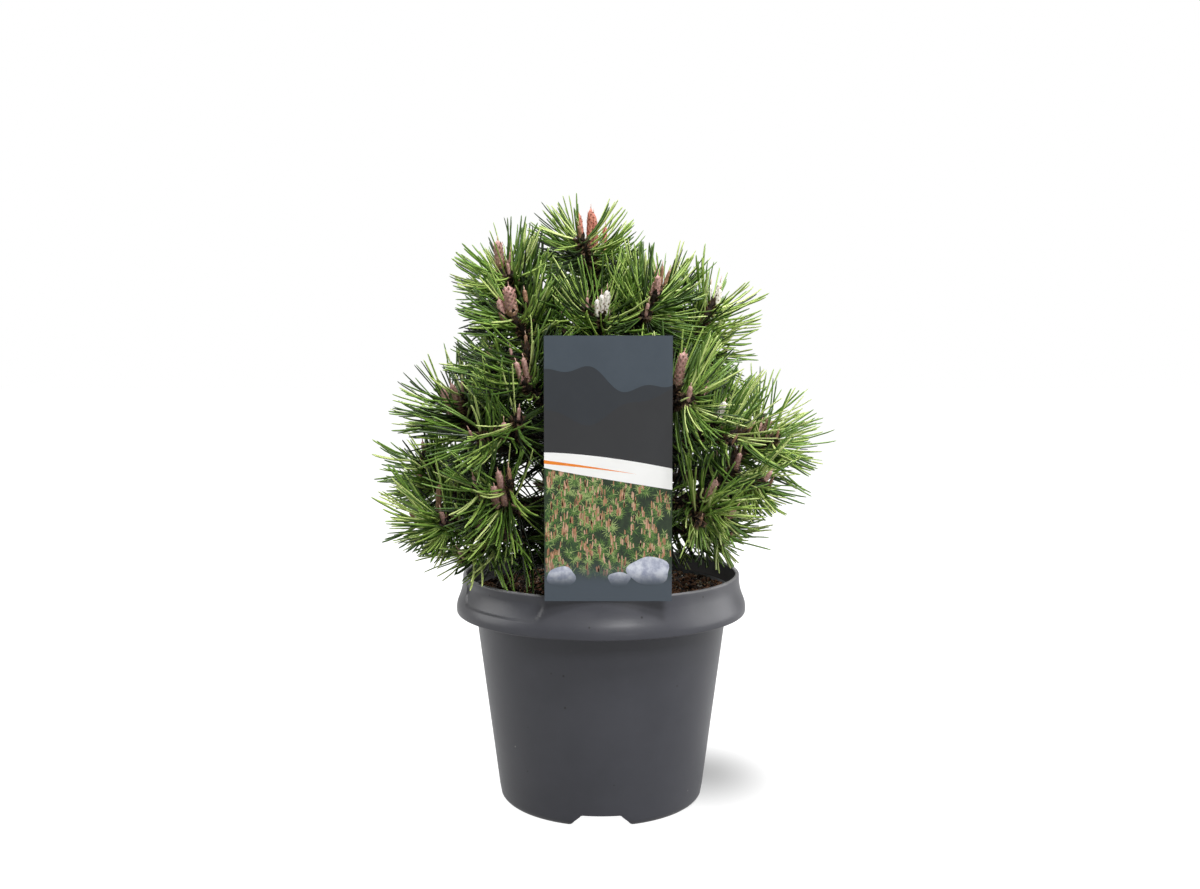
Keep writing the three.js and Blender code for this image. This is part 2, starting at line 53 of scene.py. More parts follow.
POT_HEIGHT = 150.0
LIP_RADIUS = 91.2
LIP_THICKNESS = 2.6
SKIRT_RADIUS = 95.5
SKIRT_BOTTOM = 125.3
SKIRT_BAND = 8.0
SKIRT_STEP = 0.8
WALL_TOP_RADIUS = 83.0
BASE_RADIUS = 67.4
BASE_EDGE = 5.0
WALL = 1.6
FLOOR = 2.0
POT_SIDES = 360
SHARP_ANGLE = 32.0  # degrees between two faces, from which their edge stays sharp
INSIDE_SHADE_FROM_RIM = 2.2  # the painted shade on the wall's inside starts this far below the rim
INSIDE_SHADE_BELOW_MIX = 12.0  # and ends this far below the mix
RIM_HIGHLIGHT_DEPTH = 1.5  # how far down the rim's painted highlight reaches
PANEL_FROM, PANEL_TO = 200.0, 247.5  # degrees round the pot
PANEL_FOOT = 133.2
PANEL_DEPTH = 1.1
PANEL_SLOPE = 1.1  # how wide its sloping edge is
PANEL_CORNER = 9.0
PANEL_FADE = 4.0  # the height over which it runs out below the rim

NOTCH_COUNT = 4
NOTCH_TOP = 25.0
NOTCH_FOOT = 38.0
NOTCH_HEIGHT = 8.0
NOTCH_INNER = 27.0
NOTCH_OUTER = 76.0
DRAIN_WIDTH = 5.0
DRAIN_LENGTH = 15.0
DRAIN_RADIUS = 46.0
DRAIN_CORNER = 2.2

MIX_LEVEL = 138.0
MIX_RINGS = 60
MIX_SIDES = 120
MIX_INSIDE_LIP = 2.4
MIX_SINK = 0.6  # how far the mean surface lies below the level, to leave room for the lumps
MIX_SAG = 2.0  # how much lower the surface is at the wall
MIX_SAG_FROM = 74.0
MIX_SAG_WIDTH = 12.0
MIX_HEAP = 2.2
MIX_HEAP_WIDTH = 20.0
# Lumps in the surface: how close they stand, their own seed, and their height.
MIX_LUMPS = ((0.06, 3.1, 1.3), (0.21, 7.7, 0.7))
CRUMB_SEED = 41
CRUMB_FINENESS = 2.2  # above 1, how far small crumbs outnumber large ones
CRUMB_STRETCH = 1.5  # how much longer crumbs are than wide
CRUMB_RISE = 0.25  # of its radius, how far a crumb's middle stands above the surface

LABEL_WIDTH = 75.0
LABEL_HEIGHT = 156.0
LABEL_THICKNESS = 0.8
LABEL_CENTRE = 4.1
LABEL_BOTTOM = 148.3
LABEL_BACK = -(LIP_RADIUS + GAP)
LABEL_EDGE = 0.18
TONGUE_WIDTH = 14.0
TONGUE_THICKNESS = 1.0
TONGUE_ARM = 6.5
TONGUE_LEG = 10.5
PRINT_LAYER = 0.05  # between one printed layer and the next
PRINT_STEPS = 49
STRIPE_HALF = 1.5
STRIPE_END = 0.72  # of the card's width
MIST_FOOT = 9.0
SPRIGS = 430
SPRIG_SEED = 5
SPRIG_LEAVES = (12, 17)
SPRIG_SIZE = (3.2, 5.4)
LEAF_HALF = 0.27
PLAIN_LEAVES = 0.6  # share of a sprig's leaves that have its own colour
FIELD_FOOT = 15.0
FIELD_HEAD = 84.0
# Printed stones: how far across and up their middles are, half their width, half their height.
STONES = (
    (61.5, 18.0, 12.5, 8.5),
    (44.0, 13.0, 6.5, 4.5),
    (10.0, 14.5, 8.5, 6.0),
)

TRUNK_CURVE = ((0, 0, MIX_LEVEL + GAP), (0, 0, 196), (-16, -5, 262), (-6, 0, 324))
TRUNK_FOOT_RADIUS = 7.2
TRUNK_TIP_RADIUS = 2.9
TRUNK_FLARE = 4.5
FLARE_HEIGHT = 0.045  # of the trunk's length
TRUNK_SIDES = 44
TRUNK_STEP = 1.1
BOUGH_SIDES = 18
BOUGH_STEP = 1.3
BOUGH_BARK = 0.55  # how deep a bough's bark is, against 1 on the trunk
BARK_PLATES = (0.34, 0.34, 0.2)  # plates to a millimetre, round the limb and up it
BARK_CRACK_SLOPE = 2.6
BARK_PLATE_HEIGHT = 0.55
BARK_ROUGHNESS = 0.28
BARK_FINENESS = 3.1  # how much finer the roughness is than the plates

FORK_LOWEST = 156.0
FORK_HIGHEST = 298.0
FORK_TURN = 70.0  # degrees between one limb and each of the two below it, where a choice allows
FORK_CHOICE = 7
TRUNK_PIECES = 14  # straight pieces that stand for a curve where distances are measured
BOUGH_PIECES = 8
STEM_PIECES = 6
LIMB_PULL = 0.38  # of its span, how far a limb runs straight at each end before it bends
BOUGH_BASE_RADIUS = 3.7
BOUGH_TIP_RADIUS = 2.9
STEM_LENGTH = 48.0
STEM_UPTURN = 22.0
STEM_BASE_RADIUS = 2.9
STEM_TIP_RADIUS = 2.3
RISE = 1.6  # how strongly a bud turns up from its shoot, against 1 straight ahead
TWIG_SEED = 7
TWIG_SEED_STEP = 31
TWIG_COUNT = 2
TWIG_ATTEMPTS = 12
TWIG_FORK_FROM = 0.52  # of the stem's length
TWIG_FORK_SPREAD = 0.2
TWIG_LENGTH = 24.0
TWIG_LENGTH_SPREAD = 8.0
TWIG_SPREAD = 40.0
TWIG_SPREAD_JITTER = 12.0
TWIG_RADIUS = 2.0
TWIG_CLEAR_STEM = 17.0
TWIG_CLEAR_TWIG = 9.0
TWIG_CLEAR_LIMB = 8.0
TWIG_CLEAR_OPEN = 4.0
BUD_LENGTH = 20.0
SIDE_BUD_LENGTH = 10.0

# Every head of needles: azimuth, reach, height of its bud's foot, lift of its limb, lift and turn
# of its shoot's end, with angles in degrees.
HEADS = {
    "crown": (
        (193, 66, 349, 56, 72, 0),
        (226, 78, 318, 40, 56, 0),
        (271, 62, 319, 46, 56, 0),
        (307, 57, 331, 40, 60, 0),
        (354, 39, 337, 54, 75, 0),
        (350, 74, 328, 30, 66, 0),
        (90, 47, 330, 56, 66, 0),
        (42, 62, 311, 40, 58, 0),
        (140, 60, 316, 44, 60, 0),
        (217, 84, 290, 24, 38, 0),
    ),
    "inner": (
        (278, 43, 255, 18, 30, 0),
        (284, 40, 216, 4, 16, 0),
    ),
    "middle": (
        (201, 98, 257, 22, 54, 0),
        (239, 89, 279, 28, 46, 0),
        (235, 100, 248, 8, 12, 35),
        (300, 90, 275, 34, 52, 0),
        (321, 92, 254, 20, 42, 0),
        (358, 107, 241, 20, 46, 0),
        (32, 92, 246, 20, 46, 0),
        (73, 90, 256, 28, 50, 0),
        (116, 90, 246, 24, 48, 0),
        (158, 86, 256, 24, 48, 0),
    ),
    "lower": (
        (210, 115, 198, 4, 50, 0),
        (234, 101, 205, 0, 20, 28),
        (190, 116, 213, 10, 32, 0),
        (221, 96, 186, -2, 24, 0),
        (337, 92, 221, 14, 50, 0),
        (311, 98, 208, -2, 22, 0),
        (350, 78, 188, 0, 30, 0),
        (26, 90, 205, 10, 40, 0),
        (67, 95, 198, 2, 36, 0),
        (107, 97, 206, 4, 38, 0),
        (148, 98, 200, 4, 38, 0),
    ),
}
LEADER = (180, 7, 361, 88, 89, 0)
ON_BOUGHS = ("middle", "lower")

# Needles as they grow: pairs in a short sheath, spiralling up the shoot.
NEEDLE_LENGTH = 45.0
NEEDLE_LENGTH_SPREAD = 9.0
NEEDLE_WIDTH = 1.4
NEEDLE_FLAT = 0.35  # of half its width, how far a needle's flat side lies from its axis
NEEDLE_KEEL = 0.8  # and its rounded side
NEEDLE_MIDDLE = 25.0
NEEDLE_SPECULAR = 0.42
NEEDLE_ROWS = (0, 0.08, 0.34, 0.62, 0.88, 0.975, 1)
NEEDLE_TAPER = (0.62, 0.96, 1.0, 0.98, 0.92, 0.62, 0.1)
PAIR_SPACING = 0.42
OLD_PAIR_SPACING = 0.6
PAIR_SPLIT = 6.0
ROOT_ANGLE = 95.0
TIP_ANGLE = 59.0
TIP_LOSS = 0.22  # the needles round the bud are shorter by this share
ANGLE_JITTER = 4.0
ROLL_JITTER = 0.25
NEEDLE_FOOT = 1.6  # how far from its shoot's axis a needle starts
NEEDLE_BEND = 0.19
BEND_JITTER = 0.07
WAVE = 0.045
VIGOUR = {"leader": 0.84, "crown": 0.95}  # shares of the full needle length, by tier
TWIG_VIGOUR = 0.92
LOW_LIGHT = 0.20  # painted light: how much paler a green the needles that hang over the rim get
LOW_HEIGHT = 205.0
LOW_DEPTH = 40.0
SUNNY_SIDE = 0.10  # painted light: how much paler a green the needles on the right get than those in the middle
OLD_VIGOUR = 0.86
NEEDLE_RISE = 0.07
UNDERSIDE_LOSS = 0.45  # in the lower masses, needles that point down are shorter by this share
HANGING = ("lower_02", "lower_04")  # but not in these, whose needles hang over the rim
BARE_TIP = 0.965
BUD_ROOM = 5.5

# How far needles keep from the rim's inside, the rim or mix below them, and the label.
OPEN_INSIDE_RIM = 8.0
OPEN_ABOVE_FLOOR = 2.0
OPEN_BESIDE_LABEL = 2.0
OPEN_ABOVE_LABEL = 1.0
OPEN_BEHIND_LABEL = 1.5

# Windows through the crown, seen from the front: across, height, half width, half height.
FRONT_EYE = (0.0, -800.0, 297.0)
SKY_WINDOWS = (
    (-48, 208, 8, 15),
    (49, 213, 4, 9),
    (51, 172, 6, 7),
    (-49, 172, 5, 5),
    (-52, 310, 5, 4),
    (-40, 322, 4, 3),
    (-5, 387, 10, 17),
)
WINDOW_THINNING = 0.7  # share of the pairs that leave a window free
BUD_THINNING = 0.75  # share of the pairs in front of a bud that leave it free
# The heads whose buds show from the front: how much of the shoot under them shows, and how far
# beside them the needles keep.
BUDS_SHOWN = {
    "leader": (10, 6.5),
    "crown_01": (2, 5.0),
    "crown_02": (10, 6.0),
    "crown_03": (6, 6.0),
    "crown_04": (2, 4.0),
    "crown_05": (2, 4.5),
    "crown_06": (2, 4.0),
    "middle_01": (4, 7.0),
    "middle_02": (2, 4.0),
    "middle_04": (4, 6.0),
    "middle_05": (2, 4.0),
    "middle_06": (2, 4.0),
    "lower_01": (2, 4.0),
    "lower_02": (2, 6.0),
    "lower_05": (2, 4.0),
}
SHEATH_LENGTH = 4.0
SHEATH_SUNK = 0.6
SHEATH_FOOT_RADIUS = 0.85
SHEATH_TOP_RADIUS = 0.74
CROSSING = 13.0  # how much nearer another head's shoot may be than its own
LIMB_ROOM = 4.0
CHECKED_SHARES = (0.35, 0.6, 0.8, 1.0)  # of a needle's length, where its room is measured
STEM_NEEDLES = 62.0  # how far down its stem from the bud a head bears needles
STEM_BARE = 0.04  # and the share of a short stem that stays bare all the same
TWIG_NEEDLES = (0.12, 0.93)
BOUGH_NEEDLES = 64.0
GOLDEN_ANGLE = math.pi * (3 - math.sqrt(5))
NEEDLE_SEED = 77

# Painted light and shade on the needles: how much light a needle is taken to get, in shares of full
# light. The steps divide the greens.
LIGHT_EVERYWHERE = 0.14
LIGHT_OUTSIDE = 0.52
LIGHT_ROUND_BUD = 0.14
LIGHT_LOST_WITH_AGE = 0.30
LIGHT_FROM_ABOVE = 0.05
LIGHT_SPREAD = 0.80
LIGHT_STEPS = (0.26, 0.42, 0.60, 0.78, 0.97)
CROWN_RADIUS = 130.0
CROWN_FOOT = 150.0
CROWN_HEIGHT = 240.0
CROWN_TOP_SHARE = 0.95  # how far out the crown's top counts, against 1 for its sides
OUTERMOST = 1.15

# ------------------------------------------------------------------ buds

SHOOT_SEED = 61
SHOOT_SIDES = 10
SHOOT_STEP = 1.6
SHOOT_SCALES = 1.9  # to a millimetre of shoot
SCALE_LENGTH = 2.8
SCALE_LENGTH_SPREAD = 1.6
SCALE_LIFT = 0.5
SCALE_LIFT_SPREAD = 1.7
PALER_SCALES = 0.35
PALEST_TIPS = 0.22
TWIG_TAPER = 0.3
BUD_SEED = 23
BUD_SIDES = 9
BUD_ROWS = 13
BUD_BEND = 0.07
BUD_SCALES = 1.25  # to a square millimetre of length by radius
FRINGED_SCALES = 0.45
THREAD_LENGTH = (1.5, 4.5)
THREAD_RADII = (0.42, 0.27, 0.12)
SALMON, ROSE, BROWN, GREY, RESIN, FRINGE = range(6)
# A bud's colours: its foot, how far up that reaches, its body, its scales' tips.
BUD_KINDS = {
    "candle": (GREY, 0.40, SALMON, FRINGE),
    "rose": (BROWN, 0.22, ROSE, FRINGE),
    "pink": (GREY, 0.45, ROSE, FRINGE),
    "brown": (GREY, 0.25, BROWN, FRINGE),
    "resin": (GREY, 0.58, RESIN, RESIN),
}
# The buds that stand round a main shoot's end: each one's bearing from the shoot, how far from
# its middle it stands, its length and its radius. The bearing is read like a head's azimuth.
BUD_CLUSTERS = {
    "leader": (
        "candle",
        ((180, 0.6, 27, 2.3), (0, 3.2, 25, 2.1), (180, 5.0, 26, 2.1), (0, 8.4, 19, 1.7)),
    ),
    "crown_01": ("rose", ((0, 0.0, 17, 3.2), (0, 5.5, 11, 1.8))),
    "crown_02": ("rose", ((0, 0.0, 17, 3.7), (170, 5.5, 12, 2.4))),
    "crown_03": ("resin", ((0, 2.2, 14, 2.2), (180, 3.4, 9, 1.9), (180, 0.6, 11, 1.8))),
    "crown_04": ("rose", ((0, 0.0, 11, 2.2), (150, 3.0, 8, 1.6))),
    "crown_05": ("brown", ((0, 2.2, 13, 1.5), (180, 4.0, 12, 1.5), (90, 0.0, 14, 1.3))),
    "crown_06": ("resin", ((0, 1.0, 12, 1.8), (200, 4.0, 11, 1.5), (300, 4.0, 9, 1.5))),
    "crown_10": ("rose", ((0, 0.0, 9, 2.0),)),
    "middle_01": ("rose", ((180, 3.0, 18, 2.1), (0, 3.0, 20, 2.3))),
    "middle_02": ("rose", ((180, 1.8, 12, 1.8), (0, 1.8, 14, 1.8))),
    "middle_03": ("rose", ((0, 0.0, 6, 1.8),)),
    "middle_04": ("pink", ((0, 0.0, 21, 3.0),)),
    "middle_05": ("resin", ((0, 0.0, 12, 2.2),)),
    "middle_06": ("rose", ((0, 0.0, 11, 2.2), (160, 3.5, 8, 1.5))),
    "lower_01": ("brown", ((0, 0.0, 16, 1.9),)),
    "lower_02": ("rose", ((0, 2.0, 24, 2.3), (180, 3.0, 15, 2.6))),
    "lower_05": ("rose", ((0, 0.0, 11, 2.0),)),
}
CLUSTER_LEAN = 0.014  # how far a bud leans out for each millimetre that it stands off
CLUSTER_SINK = 0.4  # and how far down its foot lies
# Elsewhere buds have lengths and radii between these. Those beside an end bud stand this far off.
END_BUD_LENGTH, END_BUD_RADIUS = (10, 17), (1.8, 3.0)
BESIDE_BUD_LENGTH, BESIDE_BUD_RADIUS = (7, 11), (1.3, 1.8)
BESIDE_BUD_OFFSET = 3.6
TWIG_BUD_LENGTH = (5, 9)
TWIG_BUD_RADIUS = 0.17  # of its length

# ------------------------------------------------------------------ colours, as seen, 0 to 255

# Crumbs on the potting mix: name, colour, how many, and the smallest and largest radius in mm.
CRUMB_KINDS = (
    ("peat_crumb", (74, 53, 42), 1700, 0.6, 2.0),
    ("bark_crumb", (166, 120, 92), 1500, 0.7, 2.3),
    ("fibre_crumb", (232, 196, 162), 1200, 0.4, 1.4),
    ("grit_crumb", (252, 247, 238), 900, 0.35, 1.0),
)
CRUMB_PATCH = 0.55  # of a crumb's own colour
# The label's prints: name, colour, colour of its patches, how fine they are, and how far up the
# card the mist over it reaches, in mm.
PRINTS = (
    ("print_far_hills", (45, 49, 54), (42, 46, 51), 60.0, 0),
    ("print_near_hills", (46, 47, 49), (44, 45, 47), 60.0, 0),
    ("print_white", (254, 254, 252), (250, 250, 248), 60.0, 0),
    ("print_orange", (240, 138, 40), (236, 130, 36), 60.0, 0),
    ("print_leaf_pale", (164, 180, 116), (130, 156, 86), 300.0, 27),
    ("print_leaf_green", (100, 132, 62), (76, 110, 50), 300.0, 27),
    ("print_leaf_deep", (52, 84, 40), (38, 66, 34), 300.0, 27),
    ("print_bud_tan", (186, 138, 104), (156, 110, 80), 400.0, 27),
    ("print_field", (44, 62, 36), (24, 36, 22), 260.0, 27),
    ("print_bud_pink", (214, 176, 148), (190, 146, 120), 400.0, 27),
    ("print_stone", (222, 226, 236), (158, 164, 186), 240.0, 20),
)
FAR_HILLS, NEAR_HILLS, WHITE, ORANGE, LEAF_PALE, LEAF_GREEN, LEAF_DEEP = range(7)
BUD_TAN, FIELD, BUD_PINK, STONE = range(7, 11)
SLATE = (67, 76, 85)
# Name, colour and colour of the patches, in the order of the numbers that faces carry.
SHOOT_COLORS = (
    ("shoot_bark", (52, 40, 32), (32, 24, 19)),
    ("shoot_scale", (88, 66, 50), (54, 40, 31)),
    ("shoot_scale_tip", (150, 122, 94), (102, 78, 60)),
)
BUD_COLORS = (
    ("bud_salmon", (210, 138, 118), (172, 102, 88)),
    ("bud_rose", (204, 164, 156), (166, 124, 116)),
    ("bud_brown", (172, 132, 104), (128, 92, 72)),
    ("bud_grey", (180, 160, 132), (134, 114, 92)),
    ("bud_resin", (250, 246, 240), (222, 212, 206)),
    ("bud_fringe", (232, 196, 178), (208, 160, 142)),
)
# Needle greens, palest first, dealt out by needle_shades as painted light and shade.
NEEDLE_GREENS = (
    ("needle_tip", (204, 216, 142), (176, 196, 110)),
    ("needle_fresh", (164, 188, 96), (136, 166, 74)),
    ("needle_bright", (122, 156, 66), (98, 132, 52)),
    ("needle_mid", (84, 116, 42), (64, 94, 33)),
    ("needle_deep", (48, 72, 21), (35, 54, 17)),
    ("needle_shade", (24, 37, 9), (15, 25, 6)),
)

# ------------------------------------------------------------------ studio, in metres

FLOOR_HALF = 8.0
SKY_LIGHT = 0.07
MIRRORED_SHARE = 0.45  # of its full brightness, how bright the backdrop is in a reflection
SHADOW_SPOT = (0.070, 0.032, 0.0)  # the floor glows least here: a painted shadow beside the pot
SHADOW_SPREAD = (0.076, 0.100, 1.0)  # from there to the shadow's edge, across and in depth
GLOW_IN_SHADOW = 0.26
FLOOR_GLOW = 1.0
UNDER_POT = (0.060, 0.067)  # how far from the middle the painted light under the pot fades

PLANT_MIDDLE = (0.0, 0.0, 0.22)
POT_FRONT = (0.0, 0.0, 0.13)
# Name, place, what it points at, width and power in watts.
LIGHTS = (
    ("key", (0.45, -0.80, 1.60), PLANT_MIDDLE, 0.4, 19),
    ("front_key", (0.40, -1.25, 1.20), PLANT_MIDDLE, 0.5, 13),
    ("top_box", (-0.25, 0.2, 1.5), PLANT_MIDDLE, 0.7, 16),
    ("left_box", (-1.3, 0.1, 0.55), PLANT_MIDDLE, 1.0, 6),
    ("back_box", (-0.3, 1.5, 1.0), PLANT_MIDDLE, 1.0, 7),
    ("right_box", (1.4, 0.15, 0.35), PLANT_MIDDLE, 1.4, 12),
    ("low_box", (0.55, -1.45, 0.06), POT_FRONT, 0.25, 0.8),
)

CAMERA_SIDE = -0.0007
CAMERA_DISTANCE = 0.800
CAMERA_HEIGHT = 0.297
CAMERA_PITCH = 4.53
CAMERA_LENS = 36.48

# ------------------------------------------------------------------ seeded numbers and vectors


class Seeded:
    """The same small generator as the solids use."""

    def __init__(self, seed):
        self.state = seed & 0xFFFFFFFF

    def __call__(self):
        self.state = (self.state * 1664525 + 1013904223) & 0xFFFFFFFF
        return self.state / 4294967296


def unit(vectors):
    vectors = np.asarray(vectors, float)
    return vectors / np.linalg.norm(vectors, axis=-1, keepdims=True)


def polar(azimuth, reach, height):
    angle = math.radians(azimuth)
    return np.array((reach * math.cos(angle), reach * math.sin(angle), height))


def aim(azimuth, lift):
    return polar(azimuth, math.cos(math.radians(lift)), math.sin(math.radians(lift)))


def side_of(axis, roll):
    """A unit vector square to the axis, turned round it by the roll."""
    level = unit(np.cross((0.0, 0.0, 1.0), axis))
    other = np.cross(axis, level)
    roll = np.asarray(roll)[..., None]
    return level * np.cos(roll) + other * np.sin(roll)


def turns(count):
    """Evenly spaced angles round a circle."""
    return np.arange(count) * 2 * math.pi / count


class Bezier:
    """A Bezier curve of any degree through space."""

    def __init__(self, *points):
        self.points = np.array(points, float)

    def at(self, share):
        share = np.asarray(share, float)[..., None]
        level = [np.broadcast_to(point, share.shape[:-1] + (3,)) for point in self.points]
        while len(level) > 1:
            level = [a + (b - a) * share for a, b in zip(level, level[1:])]
        return level[0]

    def tangent(self, share):
        return unit(Bezier(*np.diff(self.points, axis=0)).at(share))

    def length(self):
        steps = self.at(np.linspace(0, 1, 60))
        return float(np.linalg.norm(np.diff(steps, axis=0), axis=1).sum())

    def segments(self, steps):
        points = self.at(np.linspace(0, 1, steps + 1))
        return points[:-1], points[1:]


class Segments:
    """Straight pieces of limb, each with an owner, for measuring how near a point comes."""

    def __init__(self):
        self.starts = np.zeros((0, 3))
        self.ends = np.zeros((0, 3))
        self.owners = []

    def add(self, starts, ends, owner):
        self.starts = np.vstack((self.starts, starts))
        self.ends = np.vstack((self.ends, ends))
        self.owners += [owner] * len(np.atleast_2d(starts))

    def pick(self, keep):
        chosen = Segments()
        mask = np.array([keep(owner) for owner in self.owners], bool)
        chosen.starts, chosen.ends = self.starts[mask], self.ends[mask]
        chosen.owners = [owner for owner, kept in zip(self.owners, mask) if kept]
        return chosen

    def joined(self, other):
        both = Segments()
        both.starts = np.vstack((self.starts, other.starts))
        both.ends = np.vstack((self.ends, other.ends))
        both.owners = self.owners + other.owners
        return both

    def distance(self, points):
        """Distance from each point to the nearest segment."""
        points = np.atleast_2d(points)
        if not len(self.starts):
            return np.full(len(points), np.inf)
        run = self.ends - self.starts
        length2 = np.maximum((run * run).sum(1), 1e-12)
        found = np.empty(len(points))
        block = 3000
        for first in range(0, len(points), block):
            offset = points[first : first + block, None] - self.starts[None]
            share = np.clip((offset * run).sum(2) / length2, 0, 1)
            gap = offset - share[..., None] * run
            found[first : first + block] = np.sqrt((gap * gap).sum(2).min(1))
        return found


# ------------------------------------------------------------------ the tree's skeleton

TRUNK = Bezier(*TRUNK_CURVE)


def trunk_radius(along):
    taper = TRUNK_TIP_RADIUS + (TRUNK_FOOT_RADIUS - TRUNK_TIP_RADIUS) * (1 - along)
    return taper + TRUNK_FLARE * np.exp(-along / FLARE_HEIGHT)


def trunk_at(height):
    low, high = 0.0, 1.0
    for _ in range(30):
        middle = (low + high) / 2
        if TRUNK.at(middle)[2] < height:
            low = middle
        else:
            high = middle
    return TRUNK.at(low)


class Head:
    """One mass of needles: its bough, its stem and the twigs that fork from the stem."""

    def __init__(self, name, row, on_bough):
        self.name = name
        self.azimuth, self.reach, self.height, self.lift, self.end_lift, self.turn = row
        self.on_bough = on_bough
        self.fork = None
        self.bough = None
        self.twigs = []

    def lay(self):
        ahead = aim(self.azimuth, self.lift)
        self.direction = aim(self.azimuth + self.turn, self.end_lift)
        self.shoot_end = polar(self.azimuth, self.reach, self.height)
        outward = aim(self.azimuth, max(self.lift / 2, 0))
        if self.fork is None:
            up = TRUNK.tangent(1.0)
            start = TRUNK.at(1.0) + up * 2 * GAP
            self.stem = pulled(start, up, self.shoot_end, self.direction)
        elif self.on_bough:
            elbow = self.shoot_end - self.direction * STEM_UPTURN
            bough_tip = elbow - ahead * (STEM_LENGTH - STEM_UPTURN)
            self.bough = pulled(self.fork, outward, bough_tip, ahead)
            self.stem = Bezier(bough_tip + ahead * GAP, elbow, self.shoot_end)
        else:
            self.stem = pulled(self.fork, outward, self.shoot_end, self.direction)


def turned_up(direction):
    """The way a bud points, turned up from the way its shoot runs."""
    return unit(direction + np.array((0.0, 0.0, RISE)))


def pulled(start, leaving, end, arriving):
    """A curve that leaves its start in one direction and arrives at its end in another."""
    pull = np.linalg.norm(end - start) * LIMB_PULL
    return Bezier(start, start + leaving * pull, end - arriving * pull, end)


def turn_between(one, other):
    return abs((one.azimuth - other.azimuth + 540) % 360 - 180)


def order_forks(heads):
    """Limbs leave the trunk by their heads' heights, but each turned away from those below it."""
    waiting = sorted(heads, key=lambda head: (head.height, head.azimuth))
    order = []
    while waiting:
        turned = [
            head
            for head in waiting[:FORK_CHOICE]
            if all(turn_between(head, other) > FORK_TURN for other in order[-2:])
        ]
        found = turned[0] if turned else waiting[0]
        waiting.remove(found)
        order.append(found)
    return order


def lay_heads():
    heads = []
    for tier, rows in HEADS.items():
        for k, row in enumerate(rows):
            heads.append(Head(f"{tier}_{k + 1:02d}", row, tier in ON_BOUGHS))
    for rank, head in enumerate(order_forks(heads)):
        share = rank / (len(heads) - 1)
        head.fork = trunk_at(FORK_LOWEST + (FORK_HIGHEST - FORK_LOWEST) * share)
    heads.insert(0, Head("leader", LEADER, False))
    for head in heads:
        head.lay()
    return heads


def in_the_open(points, room):
    """True where a point is above the rim, or above the mix inside it, and clear of the label."""
    points = np.atleast_2d(points)
    x, y, z = points.T
    floor = np.where(np.hypot(x, y) < LIP_RADIUS - OPEN_INSIDE_RIM, MIX_LEVEL, POT_HEIGHT)
    above_floor = z > floor + OPEN_ABOVE_FLOOR + room
    beside_label = np.abs(x - LABEL_CENTRE) > LABEL_WIDTH / 2 + OPEN_BESIDE_LABEL + room
    above_label = z > LABEL_BOTTOM + LABEL_HEIGHT + OPEN_ABOVE_LABEL + room
    behind_label = y > LABEL_BACK + OPEN_BEHIND_LABEL + room
    return above_floor & (beside_label | above_label | behind_label)


def in_sky_window(points):
    """True where a point lies in one of the windows, followed along the line of sight."""
    seen = seen_from_front(points)
    inside = np.zeros(len(points), bool)
    for across, height, half_width, half_height in SKY_WINDOWS:
        u, v = (seen[:, 0] - across) / half_width, (seen[:, 1] - height) / half_height
        inside |= u * u + v * v < 1
    return inside


def seen_from_front(points):
    """Where points show on the upright plane through the pot's axis, for an eye in front."""
    eye = np.array(FRONT_EYE)
    rays = np.atleast_2d(points) - eye
    return (eye + rays * (-eye[1] / rays[:, 1])[:, None])[:, (0, 2)]


def hides_bud(points, shown):
    """True where a point stands between the eye and one of the buds that show."""
    seen = seen_from_front(points)
    hides = np.zeros(len(points), bool)
    for foot, tip, room in shown:
        low, high = seen_from_front(np.array((foot, tip)))
        run = high - low
        share = np.clip(((seen - low) @ run) / (run @ run), 0, 1)
        beside = np.linalg.norm(seen - low - share[:, None] * run, axis=1)
        hides |= (beside < room) & (points[:, 1] < min(foot[1], tip[1]) + 2)
    return hides


def fork_twigs(head, random, stems, limbs, twigs):
    others = stems.pick(lambda owner: owner != head.name)
    for _ in range(TWIG_COUNT):
        for _attempt in range(TWIG_ATTEMPTS):
            along = TWIG_FORK_FROM + TWIG_FORK_SPREAD * random()
            roll = 2 * math.pi * random()
            spread = math.radians(TWIG_SPREAD + TWIG_SPREAD_JITTER * (random() - 0.5))
            length = TWIG_LENGTH + TWIG_LENGTH_SPREAD * random()
            start = head.stem.at(along)
            axis = head.stem.tangent(along)
            direction = axis * math.cos(spread) + side_of(axis, roll) * math.sin(spread)
            end = start + direction * length
            bud_tip = end + turned_up(direction) * SIDE_BUD_LENGTH
            free = (
                others.distance(end)[0] > TWIG_CLEAR_STEM
                and twigs.distance(np.array((end, bud_tip))).min() > TWIG_CLEAR_TWIG
                and limbs.distance(np.array((end, bud_tip))).min() > TWIG_CLEAR_LIMB
                and in_the_open(bud_tip, TWIG_CLEAR_OPEN)[0]
            )
            if free:
                head.twigs.append(Bezier(start, end))
                twigs.add(start, end, head.name)
                break


def grow_skeleton():
    heads = lay_heads()
    limbs, stems, twigs = Segments(), Segments(), Segments()
    limbs.add(*TRUNK.segments(TRUNK_PIECES), "trunk")
    for head in heads:
        if head.bough is not None:
            limbs.add(*head.bough.segments(BOUGH_PIECES), head.name)
        stems.add(*head.stem.segments(STEM_PIECES), head.name)
    for k, head in enumerate(heads):
        fork_twigs(head, Seeded(TWIG_SEED + TWIG_SEED_STEP * k), stems, limbs, twigs)
    return heads, limbs, stems, twigs


# ------------------------------------------------------------------ meshes


